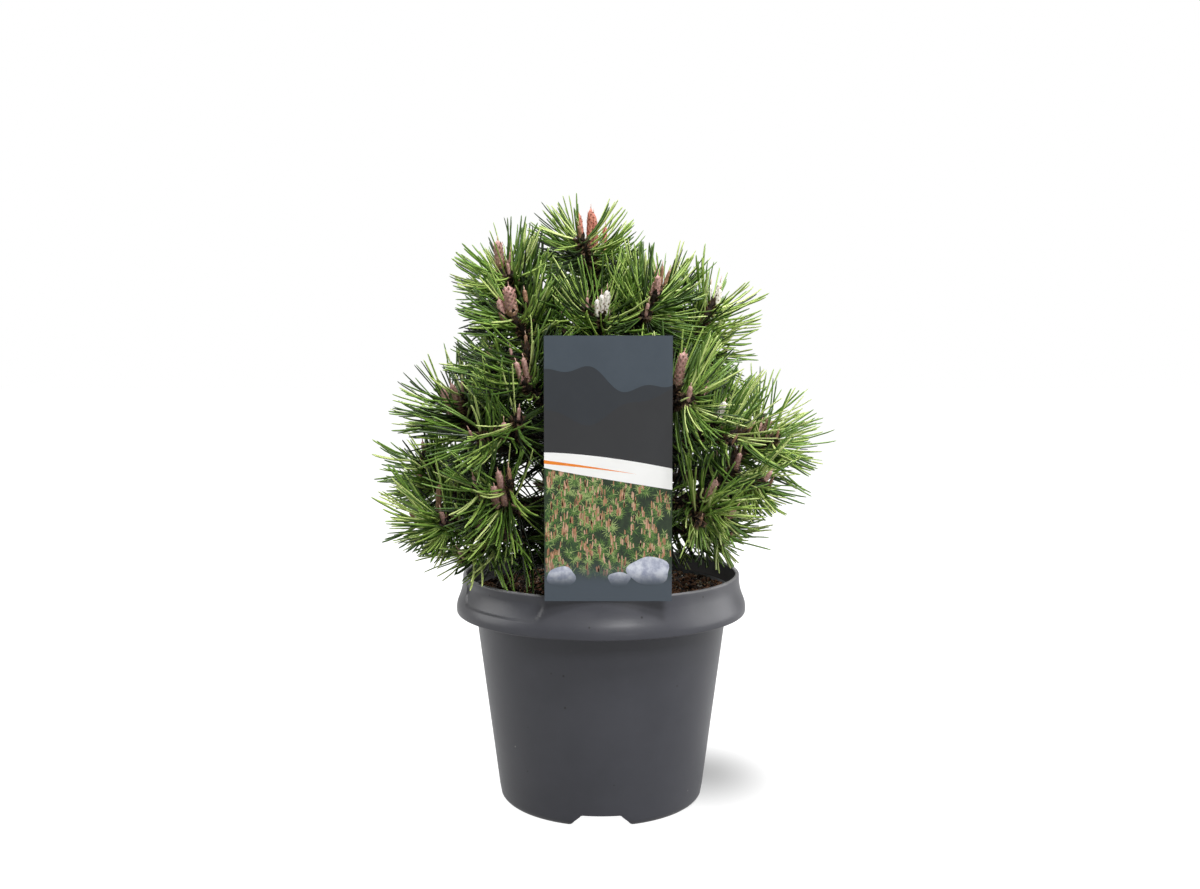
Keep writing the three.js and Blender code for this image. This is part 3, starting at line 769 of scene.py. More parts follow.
class Heap:
    """Collects points and faces, each face with a material number, into one mesh."""

    def __init__(self):
        self.points = []
        self.faces = []
        self.marks = []
        self.count = 0

    def add(self, points, faces, marks=0):
        """faces is an array with a row of point numbers for each face, or a list of such arrays.

        marks is one number for all faces or one for each, or a list of these, one for each array.
        """
        groups = faces if isinstance(faces, list) else [faces]
        marks = marks if isinstance(marks, list) else [marks] * len(groups)
        for group, mark in zip(groups, marks):
            self.faces.append(np.asarray(group, np.int64) + self.count)
            self.marks.append(np.broadcast_to(mark, (len(group),)))
        self.points.append(np.asarray(points, float).reshape(-1, 3))
        self.count += len(self.points[-1])

    def mesh(self, name, smooth=True):
        mesh = bpy.data.meshes.new(name)
        points = np.vstack(self.points) * MM
        mesh.vertices.add(len(points))
        mesh.vertices.foreach_set("co", points.astype(np.float32).ravel())
        corners = np.concatenate([group.ravel() for group in self.faces])
        sizes = np.concatenate([np.full(len(group), group.shape[1]) for group in self.faces])
        mesh.loops.add(len(corners))
        mesh.loops.foreach_set("vertex_index", corners.astype(np.int32))
        mesh.polygons.add(len(sizes))
        starts = np.concatenate(([0], np.cumsum(sizes)[:-1]))
        mesh.polygons.foreach_set("loop_start", starts.astype(np.int32))
        mesh.polygons.foreach_set("material_index", np.concatenate(self.marks).astype(np.int32))
        mesh.polygons.foreach_set("use_smooth", np.full(len(sizes), smooth))
        mesh.update(calc_edges=True)
        mesh.validate()
        return mesh


def add_piece(name, mesh, materials, replaces=()):
    for material in materials:
        mesh.materials.append(material)
    piece = bpy.data.objects.new(name, mesh)
    scene.collection.objects.link(piece)
    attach(piece, "root")
    if replaces:
        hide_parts(*replaces)
    return piece


def grid_faces(rows, columns, closed):
    """Quads over a grid of points, row after row. A closed grid wraps from its last column."""
    across = columns if closed else columns - 1
    row, column = np.meshgrid(np.arange(rows - 1), np.arange(across), indexing="ij")
    here = row * columns + column
    beside = row * columns + (column + 1) % columns
    return np.stack((here, beside, beside + columns, here + columns), -1).reshape(-1, 4)


def copies(faces, count, stride):
    """The same faces over and over, each time for the next lot of points."""
    step = np.arange(count)[:, None, None] * stride
    return (faces[None] + step).reshape(-1, faces.shape[1])


def lathe_points(profile, sides):
    profile = np.asarray(profile, float)
    turn = turns(sides)
    x = profile[:, :1] * np.cos(turn)
    y = profile[:, :1] * np.sin(turn)
    z = np.broadcast_to(profile[:, 1:], x.shape)
    return np.stack((x, y, z), -1).reshape(-1, 3)


def arc(centre_radius, centre_height, radius, from_angle, to_angle, steps):
    angles = np.radians(np.linspace(from_angle, to_angle, steps + 1))
    return [
        (centre_radius + radius * math.cos(a), centre_height + radius * math.sin(a)) for a in angles
    ]


def smooth_rows(rows, step):
    """Points a step apart on a smooth curve through the given ones."""
    rows = np.array(rows, float)
    spans = np.linalg.norm(np.diff(rows, axis=0), axis=1)
    knots = np.concatenate(((0,), np.cumsum(spans)))
    slopes = np.gradient(rows, knots, axis=0)
    at = np.linspace(0, knots[-1], int(knots[-1] / step) + 2)
    piece = np.clip(np.searchsorted(knots, at, side="right") - 1, 0, len(spans) - 1)
    span = spans[piece][:, None]
    t = (at - knots[piece])[:, None] / span
    ahead = t * t * (3 - 2 * t)
    leaving = t * (1 - t) ** 2 * span * slopes[piece]
    arriving = t * t * (t - 1) * span * slopes[piece + 1]
    points = rows[piece] * (1 - ahead) + rows[piece + 1] * ahead + leaving + arriving
    return [tuple(point) for point in points]


def frames_along(curve, shares):
    """Two vectors square to the curve, and to each other, that turn as little as they can."""
    tangents = curve.tangent(shares)
    first = np.cross(tangents[0], (0.31, 0.52, 0.79))
    normals = [unit(first)]
    for tangent in tangents[1:]:
        carried = normals[-1] - tangent * np.dot(normals[-1], tangent)
        normals.append(unit(carried))
    normals = np.array(normals)
    return normals, np.cross(tangents, normals)


def sweep(curve, shares, radius, sides):
    """A tube along a curve. radius has a number for each share, or a row with one for each side."""
    normals, others = frames_along(curve, shares)
    turn = turns(sides)[:, None]
    spokes = normals[:, None] * np.cos(turn) + others[:, None] * np.sin(turn)
    rings = curve.at(shares)[:, None] + spokes * np.reshape(radius, (len(shares), -1, 1))
    points = np.vstack((rings.reshape(-1, 3), curve.at(shares[0]), curve.at(shares[-1])))
    last = (len(shares) - 1) * sides
    ring = np.arange(sides)
    after = (ring + 1) % sides
    near = np.stack((np.full(sides, last + sides), after, ring), -1)
    far = np.stack((np.full(sides, last + sides + 1), last + ring, last + after), -1)
    return points, [grid_faces(len(shares), sides, True), np.vstack((near, far))]


# ------------------------------------------------------------------ shader helpers

COLOR, NUMBER = "NodeSocketColor", "NodeSocketFloat"
PLAIN = (0.5, 0.5, 0.5, 1.0)


def linear(color, share=1.0):
    """Turns a colour as it is seen on a screen, 0 to 255, into a share of the shader's numbers."""

    def channel(value):
        value /= 255
        return value / 12.92 if value <= 0.04045 else ((value + 0.055) / 1.055) ** 2.4

    return tuple(channel(value) * share for value in color) + (1.0,)


class Net:
    """Adds nodes to a shader tree. An input takes another node's output or a plain value."""

    def __init__(self, tree):
        self.nodes, self.links = tree.nodes, tree.links

    def feed(self, node, inputs):
        for key, value in inputs.items():
            if isinstance(value, bpy.types.NodeSocket):
                self.links.new(value, node.inputs[key])
            else:
                node.inputs[key].default_value = value
        return node

    def add(self, kind, inputs):
        return self.feed(self.nodes.new(kind), inputs)

    def place(self, group, inputs):
        node = self.nodes.new("ShaderNodeGroup")
        node.node_tree = group
        return self.feed(node, inputs)

    def calculate(self, operation, *values):
        node = self.nodes.new("ShaderNodeMath")
        node.operation = operation
        return self.feed(node, dict(enumerate(values))).outputs[0]

    def measure(self, operation, *vectors):
        node = self.nodes.new("ShaderNodeVectorMath")
        node.operation = operation
        return self.feed(node, dict(enumerate(vectors)))

    def ramp(self, value, inputs, smooth=False):
        node = self.nodes.new("ShaderNodeMapRange")
        node.interpolation_type = "SMOOTHSTEP" if smooth else "LINEAR"
        return self.feed(node, {"Value": value, **inputs}).outputs["Result"]

    def blend(self, share, first, second):
        node = self.nodes.new("ShaderNodeMix")
        node.data_type = "RGBA"
        return self.feed(node, {"Factor": share, 6: first, 7: second}).outputs[2]

    def position(self):
        return self.nodes.new("ShaderNodeTexCoord").outputs["Object"]

    def height_of(self, vector):
        return self.add("ShaderNodeSeparateXYZ", {0: vector}).outputs["Z"]

    def cloud(self, scale, detail, roughness=0.5):
        inputs = {"Vector": self.position(), "Scale": scale, "Detail": detail}
        inputs["Roughness"] = roughness
        return self.add("ShaderNodeTexNoise", inputs).outputs["Fac"]


class Group(Net):
    """A shader group, with each input's default value and each output's kind."""

    def __init__(self, name, inputs, outputs):
        self.tree = bpy.data.node_groups.new(name, "ShaderNodeTree")
        super().__init__(self.tree)
        for label, default in inputs.items():
            kind = COLOR if isinstance(default, tuple) else NUMBER
            socket = self.tree.interface.new_socket(label, in_out="INPUT", socket_type=kind)
            socket.default_value = default
        for label, kind in outputs.items():
            self.tree.interface.new_socket(label, in_out="OUTPUT", socket_type=kind)
        self.given = self.nodes.new("NodeGroupInput").outputs
        self.result = self.nodes.new("NodeGroupOutput")

    def finish(self, outputs):
        self.feed(self.result, outputs)
        return self.tree


class Coat(Group):
    """A group that lays a second colour over the one it is given, by a mask."""

    def __init__(self, name, second, inputs):
        super().__init__(name, {"Color": PLAIN, second: PLAIN, **inputs}, {"Color": COLOR})
        self.second = second

    def lay(self, mask):
        blended = self.blend(mask, self.given["Color"], self.given[self.second])
        return self.finish({"Color": blended})


def make_mottle_group():
    """Patches of a second colour over a first, where a soft noise is high."""
    coat = Coat("mottle", "Patch Color", {"Scale": 100.0, "Cover": 0.5, "Softness": 0.15})
    threshold = coat.calculate("SUBTRACT", 1.0, coat.given["Cover"])
    span = {
        "From Min": coat.calculate("SUBTRACT", threshold, coat.given["Softness"]),
        "From Max": coat.calculate("ADD", threshold, coat.given["Softness"]),
    }
    return coat.lay(coat.ramp(coat.cloud(coat.given["Scale"], 5.0, 0.6), span, smooth=True))


def make_dust_and_sheen_group():
    """A pale coat where a surface faces up: settled dust, and on the pot partly a painted
    highlight.
    """
    coat = Coat("settled_dust", "Dust Color", {"Amount": 0.2, "Scale": 60.0})
    surface = coat.nodes.new("ShaderNodeNewGeometry")
    upward = coat.height_of(surface.outputs["Normal"])
    facing = coat.ramp(upward, {"From Min": -0.1, "From Max": 0.9})
    patch = coat.calculate("MULTIPLY", facing, coat.cloud(coat.given["Scale"], 6.0))
    return coat.lay(coat.calculate("MULTIPLY", patch, coat.given["Amount"]))


def make_speck_group():
    """Scattered round dots of a second colour."""
    coat = Coat("specks", "Speck Color", {"Scale": 200.0, "Size": 0.2, "Share": 0.2})
    inputs = {"Vector": coat.position(), "Scale": coat.given["Scale"]}
    cells = coat.add("ShaderNodeTexVoronoi", inputs).outputs
    chance = coat.add("ShaderNodeSeparateColor", {"Color": cells["Color"]}).outputs["Red"]
    present = coat.calculate("LESS_THAN", chance, coat.given["Share"])
    span = {"From Min": 0.0, "From Max": coat.given["Size"], "To Min": 1.6, "To Max": 0.0}
    dot = coat.calculate("MULTIPLY", present, coat.ramp(cells["Distance"], span))
    return coat.lay(coat.calculate("MINIMUM", dot, 1.0))


def make_fade_group():
    """A second colour below a low height, that is gone above a high one."""
    coat = Coat("height_fade", "Fade Color", {"Low": 0.0, "High": 0.1})
    span = {"From Min": coat.given["High"], "From Max": coat.given["Low"]}
    return coat.lay(coat.ramp(coat.height_of(coat.position()), span, smooth=True))


def make_grain_group():
    """Two sizes of fine relief, and a roughness that wanders with the larger one."""
    group = Group(
        "grain",
        {
            "Scale": 300.0,
            "Fine Scale": 2000.0,
            "Fine Share": 0.4,
            "Roughness": 0.5,
            "Roughness Spread": 0.1,
        },
        {"Height": NUMBER, "Roughness": NUMBER},
    )
    given = group.given
    broad = group.cloud(given["Scale"], 3.0)
    fine = group.cloud(given["Fine Scale"], 2.0)
    both = group.add("ShaderNodeMix", {"Factor": given["Fine Share"], 2: broad, 3: fine})
    centred = group.calculate("SUBTRACT", broad, 0.5)
    wander = (centred, given["Roughness Spread"], given["Roughness"])
    roughness = group.calculate("MULTIPLY_ADD", *wander)
    return group.finish({"Height": both.outputs[0], "Roughness": roughness})


MOTTLE = make_mottle_group()
GRAIN = make_grain_group()
DUST_AND_SHEEN = make_dust_and_sheen_group()
SPECKS = make_speck_group()
FADE = make_fade_group()


def dust_and_sheen_coat(color, amount, scale):
    return (DUST_AND_SHEEN, {"Dust Color": linear(color), "Amount": amount, "Scale": scale})


def speck_coat(color, scale, size, share):
    return (SPECKS, {"Speck Color": linear(color), "Scale": scale, "Size": size, "Share": share})


def fade_coat(color, low, high):
    return (FADE, {"Fade Color": linear(color), "Low": low * MM, "High": high * MM})


def new_material(name):
    material = bpy.data.materials.new(name)
    material.use_nodes = True
    net = Net(material.node_tree)
    return material, net, net.nodes["Principled BSDF"]


def finish_material(name, color, patch, mottle, grain, bump, coats=(), specular=0.5):
    """A patchy colour under any number of coats, over fine relief.

    color is as seen, and patch is a second one, or a share of the first. mottle is (scale, cover,
    softness). grain is (scale, fine scale, fine share, roughness, spread). bump is the relief's
    depth in millimetres. Each coat is a colour group with its values.
    """
    material, net, shader = new_material(name)
    patches = linear(patch) if isinstance(patch, tuple) else linear(color, patch)
    tint = {"Color": linear(color), "Patch Color": patches}
    tint.update(zip(("Scale", "Cover", "Softness"), mottle))
    seen = net.place(MOTTLE, tint).outputs["Color"]
    for group, values in coats:
        seen = net.place(group, {"Color": seen, **values}).outputs["Color"]
    labels = ("Scale", "Fine Scale", "Fine Share", "Roughness", "Roughness Spread")
    relief = net.place(GRAIN, dict(zip(labels, grain))).outputs
    raised = net.add(
        "ShaderNodeBump", {"Strength": 1.0, "Distance": bump * MM, "Height": relief["Height"]}
    )
    net.feed(
        shader,
        {
            "Base Color": seen,
            "Roughness": relief["Roughness"],
            "Normal": raised.outputs["Normal"],
            "Specular IOR Level": specular,
        },
    )
    return material


# ------------------------------------------------------------------ pot


def wall_radius(height):
    slope = (WALL_TOP_RADIUS - BASE_RADIUS) / (SKIRT_BOTTOM - BASE_EDGE)
    return BASE_RADIUS + slope * (height - BASE_EDGE)


def pot_profile():
    """The pot's section, from the middle of its underside, up outside and down inside."""
    lip = LIP_THICKNESS / 2
    top = SKIRT_BOTTOM + 1.9 * SKIRT_BAND
    wall_rows = np.linspace(BASE_EDGE + 1, SKIRT_BOTTOM + 10, 24)
    outside = [(0, 0), (30, 0), (55, 0)]
    outside += arc(BASE_RADIUS - BASE_EDGE, BASE_EDGE, BASE_EDGE, -90, -8, 8)
    outside += [(wall_radius(z), z) for z in wall_rows]
    groove = [
        (wall_radius(SKIRT_BOTTOM + 10) + 2.2, SKIRT_BOTTOM + 13),
        (LIP_RADIUS - LIP_THICKNESS + WALL - 0.2, top - 1),
        (LIP_RADIUS - 1.6, top),
        (LIP_RADIUS - 0.8, top - 1),
        (LIP_RADIUS + 0.4, top - 5),
        (SKIRT_RADIUS - 1.2 - WALL, SKIRT_BOTTOM + SKIRT_BAND),
        (SKIRT_RADIUS - 1.7, SKIRT_BOTTOM + 2.6),
        (SKIRT_RADIUS - 1.9, SKIRT_BOTTOM + 0.2),
    ]
    foot = arc(SKIRT_RADIUS - 1.0, SKIRT_BOTTOM + 0.3, 0.95, 200, 360, 8)
    skirt_face = [
        (SKIRT_RADIUS, SKIRT_BOTTOM + 2.4),
        (SKIRT_RADIUS - 0.05, SKIRT_BOTTOM + 3.6),
        (SKIRT_RADIUS - 0.35, SKIRT_BOTTOM + 5.2),
        (SKIRT_RADIUS - 0.95, SKIRT_BOTTOM + 7.2),
        (SKIRT_RADIUS - 1.8, SKIRT_BOTTOM + 9.4),
        (SKIRT_RADIUS - 2.6, SKIRT_BOTTOM + 11.6),
        (LIP_RADIUS + 1.0, SKIRT_BOTTOM + 14.0),
        (LIP_RADIUS + 0.45, SKIRT_BOTTOM + 16.6),
        (LIP_RADIUS + 0.15, SKIRT_BOTTOM + 19.4),
        (LIP_RADIUS, SKIRT_BOTTOM + 22.0),
    ]
    rim = arc(LIP_RADIUS - lip, POT_HEIGHT - lip, lip, 0, 180, 10)
    inside = [
        (LIP_RADIUS - LIP_THICKNESS - 0.4, POT_HEIGHT - 4),
        (LIP_RADIUS - LIP_THICKNESS - 1.2, POT_HEIGHT - 8),
        (LIP_RADIUS - LIP_THICKNESS - 2, SKIRT_BOTTOM + 12),
        (wall_radius(SKIRT_BOTTOM + 5) - WALL, SKIRT_BOTTOM + 5),
    ]
    inside += [(wall_radius(z) - WALL, z) for z in (110, 70, 30, 8)]
    inside += [(wall_radius(0) - WALL - 4, FLOOR), (40, FLOOR), (0, FLOOR)]
    return outside + groove + foot + smooth_rows(skirt_face, SKIRT_STEP) + rim + inside

def panel_sink(points):
    """How far the skirt's flat panel lies below its face, with rounded lower corners."""
    x, y, z = points.T
    azimuth = np.degrees(np.arctan2(y, x)) % 360
    middle, half = (PANEL_FROM + PANEL_TO) / 2, (PANEL_TO - PANEL_FROM) / 2
    beside = np.radians(np.abs(azimuth - middle) - half) * LIP_RADIUS + PANEL_CORNER
    below = PANEL_FOOT - z + PANEL_CORNER
    outside = np.hypot(np.maximum(beside, 0), np.maximum(below, 0)) - PANEL_CORNER
    inside = np.minimum(np.maximum(beside, below), 0)
    step = np.clip(-(outside + inside) / PANEL_SLOPE, 0, 1)
    fade = np.clip((POT_HEIGHT - 2 - z) / PANEL_FADE, 0, 1)
    sink = step * step * (3 - 2 * step) * fade * PANEL_DEPTH
    on_skirt = (np.hypot(x, y) > LIP_RADIUS - 0.6) & (z > SKIRT_BOTTOM + 2)
    return np.where(on_skirt, sink, 0)


def weld_axis(mesh):
    work = bmesh.new()
    work.from_mesh(mesh)
    bmesh.ops.remove_doubles(work, verts=work.verts, dist=1e-6)
    bmesh.ops.dissolve_degenerate(work, edges=work.edges, dist=1e-7)
    bmesh.ops.recalc_face_normals(work, faces=work.faces)
    work.to_mesh(mesh)
    work.free()


def add_prism(work, near, far):
    """A solid between two outlines with as many points each, in metres."""
    near = [work.verts.new(point) for point in near]
    far = [work.verts.new(point) for point in far]
    for k, point in enumerate(near):
        after = (k + 1) % len(near)
        work.faces.new((point, near[after], far[after], far[k]))
    work.faces.new(near[::-1])
    work.faces.new(far)
    bmesh.ops.recalc_face_normals(work, faces=work.faces)


def add_block(work, middle, size):
    """A box, from its middle and size in millimetres."""
    made = bmesh.ops.create_cube(work, size=1.0)
    for vert in made["verts"]:
        vert.co = [(part * s + m) * MM for part, s, m in zip(vert.co, size, middle)]


def take_mesh(name, work):
    mesh = bpy.data.meshes.new(name)
    work.to_mesh(mesh)
    work.free()
    return mesh


def add_cutter(name, work, turn=0.0):
    cutter = bpy.data.objects.new(name, take_mesh(name, work))
    cutter.rotation_euler.z = turn
    scene.collection.objects.link(cutter)
    return cutter


def notch_section(grow):
    """The notch's outline, wide at the foot with rounded corners, as (across, height) points."""
    top, foot, height = NOTCH_TOP / 2 + grow, NOTCH_FOOT / 2 + grow, NOTCH_HEIGHT + grow
    half = [(foot + 4.0, -2), (foot + 2.9, 0.05), (foot + 1.6, 0.3)]
    half += [(foot + 0.3, 0.9), (foot - 1.0, 2.1), (foot - 2.4, 3.9)]
    half += [(top + 0.9, height - 1.3), (top + 0.2, height - 0.4), (top - 0.9, height)]
    return half + [(-x, z) for x, z in reversed(half)]


def channel_cutter(name, grow, angle):
    """A bar with the notch's outline, from under the floor out past the base edge."""
    across, up = np.array(notch_section(grow)).T
    near, far = (
        np.column_stack((across, np.full(len(across), -out), up))
        for out in (NOTCH_INNER - grow, NOTCH_OUTER)
    )
    cos, sin = math.cos(angle), math.sin(angle)
    turn = np.array(((cos, sin, 0), (-sin, cos, 0), (0, 0, 1)))
    work = bmesh.new()
    add_prism(work, near @ turn * MM, far @ turn * MM)
    return add_cutter(name, work)


def drain_cutter(name, angle):
    """A block with rounded corners that cuts one slot through the floor."""
    work = bmesh.new()
    size = (DRAIN_WIDTH, DRAIN_LENGTH, 2 * NOTCH_HEIGHT)
    add_block(work, (0, -DRAIN_RADIUS, NOTCH_HEIGHT), size)
    upright = [edge for edge in work.edges if abs(edge.verts[0].co.z - edge.verts[1].co.z) > 1e-4]
    bmesh.ops.bevel(work, geom=upright, offset=DRAIN_CORNER * MM, segments=4, affect="EDGES")
    return add_cutter(name, work, angle)


def keep_inside_wall(blocks):
    """The channels' roofs end in the wall's thickness, and stand on the floor's underside."""
    limit = (wall_radius(4) - 0.5) * MM
    for block in blocks:
        for vert in block.data.vertices:
            across = math.hypot(vert.co.x, vert.co.y)
            if across > limit:
                vert.co.x *= limit / across
                vert.co.y *= limit / across
            vert.co.z = max(vert.co.z, 0.0)


def cut_with(piece, cutters, operation="DIFFERENCE"):
    """Applies one exact Boolean for each cutter and removes the cutters."""
    for cutter in cutters:
        step = piece.modifiers.new("cut", "BOOLEAN")
        step.operation = operation
        step.solver = "EXACT"
        step.object = cutter
    bpy.context.view_layer.update()
    shaped = piece.evaluated_get(bpy.context.evaluated_depsgraph_get())
    mesh = bpy.data.meshes.new_from_object(shaped)
    piece.modifiers.clear()
    piece.data = mesh
    for cutter in cutters:
        bpy.data.objects.remove(cutter)


def pot_finishes():
    """The plastic outside, and a painted shade that darkens the wall's inside under the rim."""
    plastic = finish_material(
        "pot_plastic",
        (58, 59, 66),
        (64, 65, 72),
        (22.0, 0.5, 0.2),
        (90.0, 2600.0, 0.55, 0.34, 0.08),
        0.06,
        (
            # Painted highlight: a paler colour over the rim's top.
            fade_coat((124, 123, 126), POT_HEIGHT, POT_HEIGHT - RIM_HIGHLIGHT_DEPTH),
            # Pale dust where the plastic faces up, partly a painted highlight on the lip and the
            # skirt's upper slope.
            dust_and_sheen_coat((160, 158, 158), 0.22, 45.0),
            speck_coat((30, 30, 32), 130.0, 0.12, 0.16),
            speck_coat((150, 148, 146), 110.0, 0.07, 0.10),
        ),
    )
    # Painted shade: a near-black material for the wall's inside under the rim.
    inside = finish_material(
        "pot_inside",
        (15, 14, 15),
        (21, 19, 18),
        (60.0, 0.5, 0.2),
        (90.0, 2600.0, 0.55, 0.60, 0.08),
        0.06,
        (dust_and_sheen_coat((90, 74, 62), 0.30, 60.0),),
    )
    return plastic, inside


def make_pot():
    profile = pot_profile()
    points = lathe_points(profile, POT_SIDES)
    outward = unit(points * (1, 1, 0) + (1e-9, 0, 0))
    heap = Heap()
    heap.add(
        points - outward * panel_sink(points)[:, None],
        grid_faces(len(profile), POT_SIDES, True)[:, ::-1],
    )
    mesh = heap.mesh("pot_body")
    weld_axis(mesh)
    pot = add_piece("pot_body", mesh, [], ["pot"])
    angles = list(enumerate(turns(NOTCH_COUNT)))
    roofs = [channel_cutter(f"roof_{k}", WALL, angle) for k, angle in angles]
    keep_inside_wall(roofs)
    cut_with(pot, roofs, "UNION")
    cutters = [channel_cutter(f"notch_{k}", 0.0, angle) for k, angle in angles]
    cutters += [drain_cutter(f"drain_{k}", angle) for k, angle in angles]
    cut_with(pot, cutters)
    pot.data.materials.clear()
    for material in pot_finishes():
        pot.data.materials.append(material)
    # Faces on the wall's inside, from below the rim to a little below the mix, take the painted
    # shade.
    for face in pot.data.polygons:
        middle = face.center / MM
        outward = Vector((middle.x, middle.y, 0)).normalized()
        in_painted_shade = MIX_LEVEL - INSIDE_SHADE_BELOW_MIX < middle.z < POT_HEIGHT - INSIDE_SHADE_FROM_RIM
        face.material_index = int(in_painted_shade and face.normal.dot(outward) < -0.5)
    pot.data.shade_smooth()
    pot.data.set_sharp_from_angle(angle=math.radians(SHARP_ANGLE))


# ------------------------------------------------------------------ potting mix

ICOSAHEDRON = bmesh.new()
bmesh.ops.create_icosphere(ICOSAHEDRON, subdivisions=1, radius=1.0)
ICO_POINTS = np.array([vert.co[:] for vert in ICOSAHEDRON.verts])
ICO_FACES = np.array([[vert.index for vert in face.verts] for face in ICOSAHEDRON.faces])
ICOSAHEDRON.free()


def mix_height(x, y):
    """The mix's surface: lumpy, a little lower towards the wall and heaped at the trunk."""
    across = np.hypot(x, y)
    edge = np.clip((across - MIX_SAG_FROM) / MIX_SAG_WIDTH, 0, 1)
    heap = MIX_HEAP * np.exp(-((across / MIX_HEAP_WIDTH) ** 2))
    lumps = [
        sum(noise.noise(Vector((a * k, b * k, seed))) * tall for k, seed, tall in MIX_LUMPS)
        for a, b in zip(np.ravel(x), np.ravel(y))
    ]
    sag = MIX_SAG * edge * edge
    return MIX_LEVEL - MIX_SINK - sag + heap + np.reshape(lumps, np.shape(x))


def make_mix():
    reach = LIP_RADIUS - LIP_THICKNESS - MIX_INSIDE_LIP
    radii = reach * np.sqrt(np.linspace(0, 1, MIX_RINGS))[:, None]
    turn = turns(MIX_SIDES)
    x, y = radii * np.cos(turn), radii * np.sin(turn)
    top = np.stack((x, y, mix_height(x, y)), -1).reshape(-1, 3)
    heap = Heap()
    heap.add(top, grid_faces(MIX_RINGS, MIX_SIDES, True))
    floor = NOTCH_HEIGHT + WALL + 1
    rows = [(wall_radius(height) - WALL - 2 * GAP, height) for height in (SKIRT_BOTTOM, 70, 9)]
    rows += [(wall_radius(0) - WALL - 6, floor), (0, floor)]
    body = np.vstack((top[-MIX_SIDES:], lathe_points(rows, MIX_SIDES)))
    heap.add(body, grid_faces(len(rows) + 1, MIX_SIDES, True))
    mesh = heap.mesh("mix_bed")
    weld_axis(mesh)
    bed = finish_material(
        "mix_bed",
        (50, 36, 28),
        (92, 64, 47),
        (420.0, 0.45, 0.12),
        (500.0, 1900.0, 0.5, 0.92, 0.1),
        0.9,
        (speck_coat((150, 120, 92), 520.0, 0.34, 0.08),),
    )
    add_piece("mix_bed", mesh, [bed], ["potting_mix"])
    scatter_crumbs(reach - 1.5)


def scatter_crumbs(reach):
    """Flattened crumbs of every kind, strewn over the mix but not on the trunk."""
    random = np.random.RandomState(CRUMB_SEED)
    for name, color, count, smallest, largest in CRUMB_KINDS:
        across = reach * np.sqrt(random.rand(count))
        turn = random.rand(count) * 2 * math.pi
        clear = across > TRUNK_FOOT_RADIUS + TRUNK_FLARE - 1
        x, y = (across * np.cos(turn))[clear], (across * np.sin(turn))[clear]
        count = len(x)
        size = smallest + (largest - smallest) * random.rand(count) ** CRUMB_FINENESS
        shape = (0.45 + 0.75 * random.rand(count, 3)) * (CRUMB_STRETCH, 1, 1)
        spin = unit(random.randn(count, 4))
        crumbs = ICO_POINTS[None] * (size[:, None] * shape)[:, None]
        crumbs = crumbs * (0.82 + 0.36 * random.rand(count, len(ICO_POINTS), 1))
        base = np.stack((x, y, mix_height(x, y) + size * CRUMB_RISE), -1)
        heap = Heap()
        heap.add(rotate(crumbs, spin) + base[:, None], copies(ICO_FACES, count, len(ICO_POINTS)))
        grain = (700.0, 2500.0, 0.4, 0.88, 0.1)
        material = finish_material(name, color, CRUMB_PATCH, (900.0, 0.5, 0.2), grain, 0.2)
        add_piece(name, heap.mesh(name, smooth=False), [material])


def rotate(points, quaternions):
    """Turns each row of points by its own unit quaternion."""
    w = quaternions[:, :1][:, None]
    axis = np.broadcast_to(quaternions[:, None, 1:], points.shape)
    first = np.cross(axis, points)
    return points + 2 * (w * first + np.cross(axis, first))


# ------------------------------------------------------------------ plant label


def card_polygon(heap, outline, layer, mark):
    """A flat printed shape on the card's face. outline is (across, up) from its lower left."""
    across, up = np.asarray(outline, float).T
    left = LABEL_CENTRE - LABEL_WIDTH / 2
    front = LABEL_BACK - LABEL_THICKNESS - PRINT_LAYER * layer
    points = np.column_stack((left + across, np.full(len(across), front), LABEL_BOTTOM + up))
    heap.add(points, np.arange(len(points))[None], mark)


def strip(heap, lower, upper, layer, mark):
    """A printed band between two edges given as functions of the distance across."""
    across = np.linspace(0, LABEL_WIDTH, PRINT_STEPS)
    low, high = lower(across), upper(across)
    for a, b, c, d, e, f in zip(across, across[1:], low, low[1:], high, high[1:]):
        if e - c > 0.02 or f - d > 0.02:
            card_polygon(heap, ((a, c), (b, d), (b, f), (a, e)), layer, mark)


def far_hills(across):
    return 131 + 7 * np.sin(across / 13 + 0.4) + 3.0 * np.sin(across / 4.9 + 2.0)


def near_hills(across):
    return 115 + 9 * np.sin(across / 17 + 3.4) + 2.5 * np.sin(across / 5.7)


def band_top(across):
    return 88 - 9.5 * (across / LABEL_WIDTH) ** 1.6


def band_foot(across):
    return 79 - 13 * (across / LABEL_WIDTH) ** 0.9


def stripe_edge(side):
    """One edge of the stripe that thins out along the band. side is its share of half the width."""

    def edge(across):
        middle = (band_top(across) + band_foot(across)) / 2 - 0.6
        thinning = np.clip(1 - across / (STRIPE_END * LABEL_WIDTH), 0, 1)
        return middle + side * STRIPE_HALF * thinning

    return edge


def clipped(outline, margin):
    """Keeps a printed shape on the card, a margin in from its sides."""
    outline = np.array(outline, float)
    outline[:, 0] = np.clip(outline[:, 0], margin, LABEL_WIDTH - margin)
    return outline


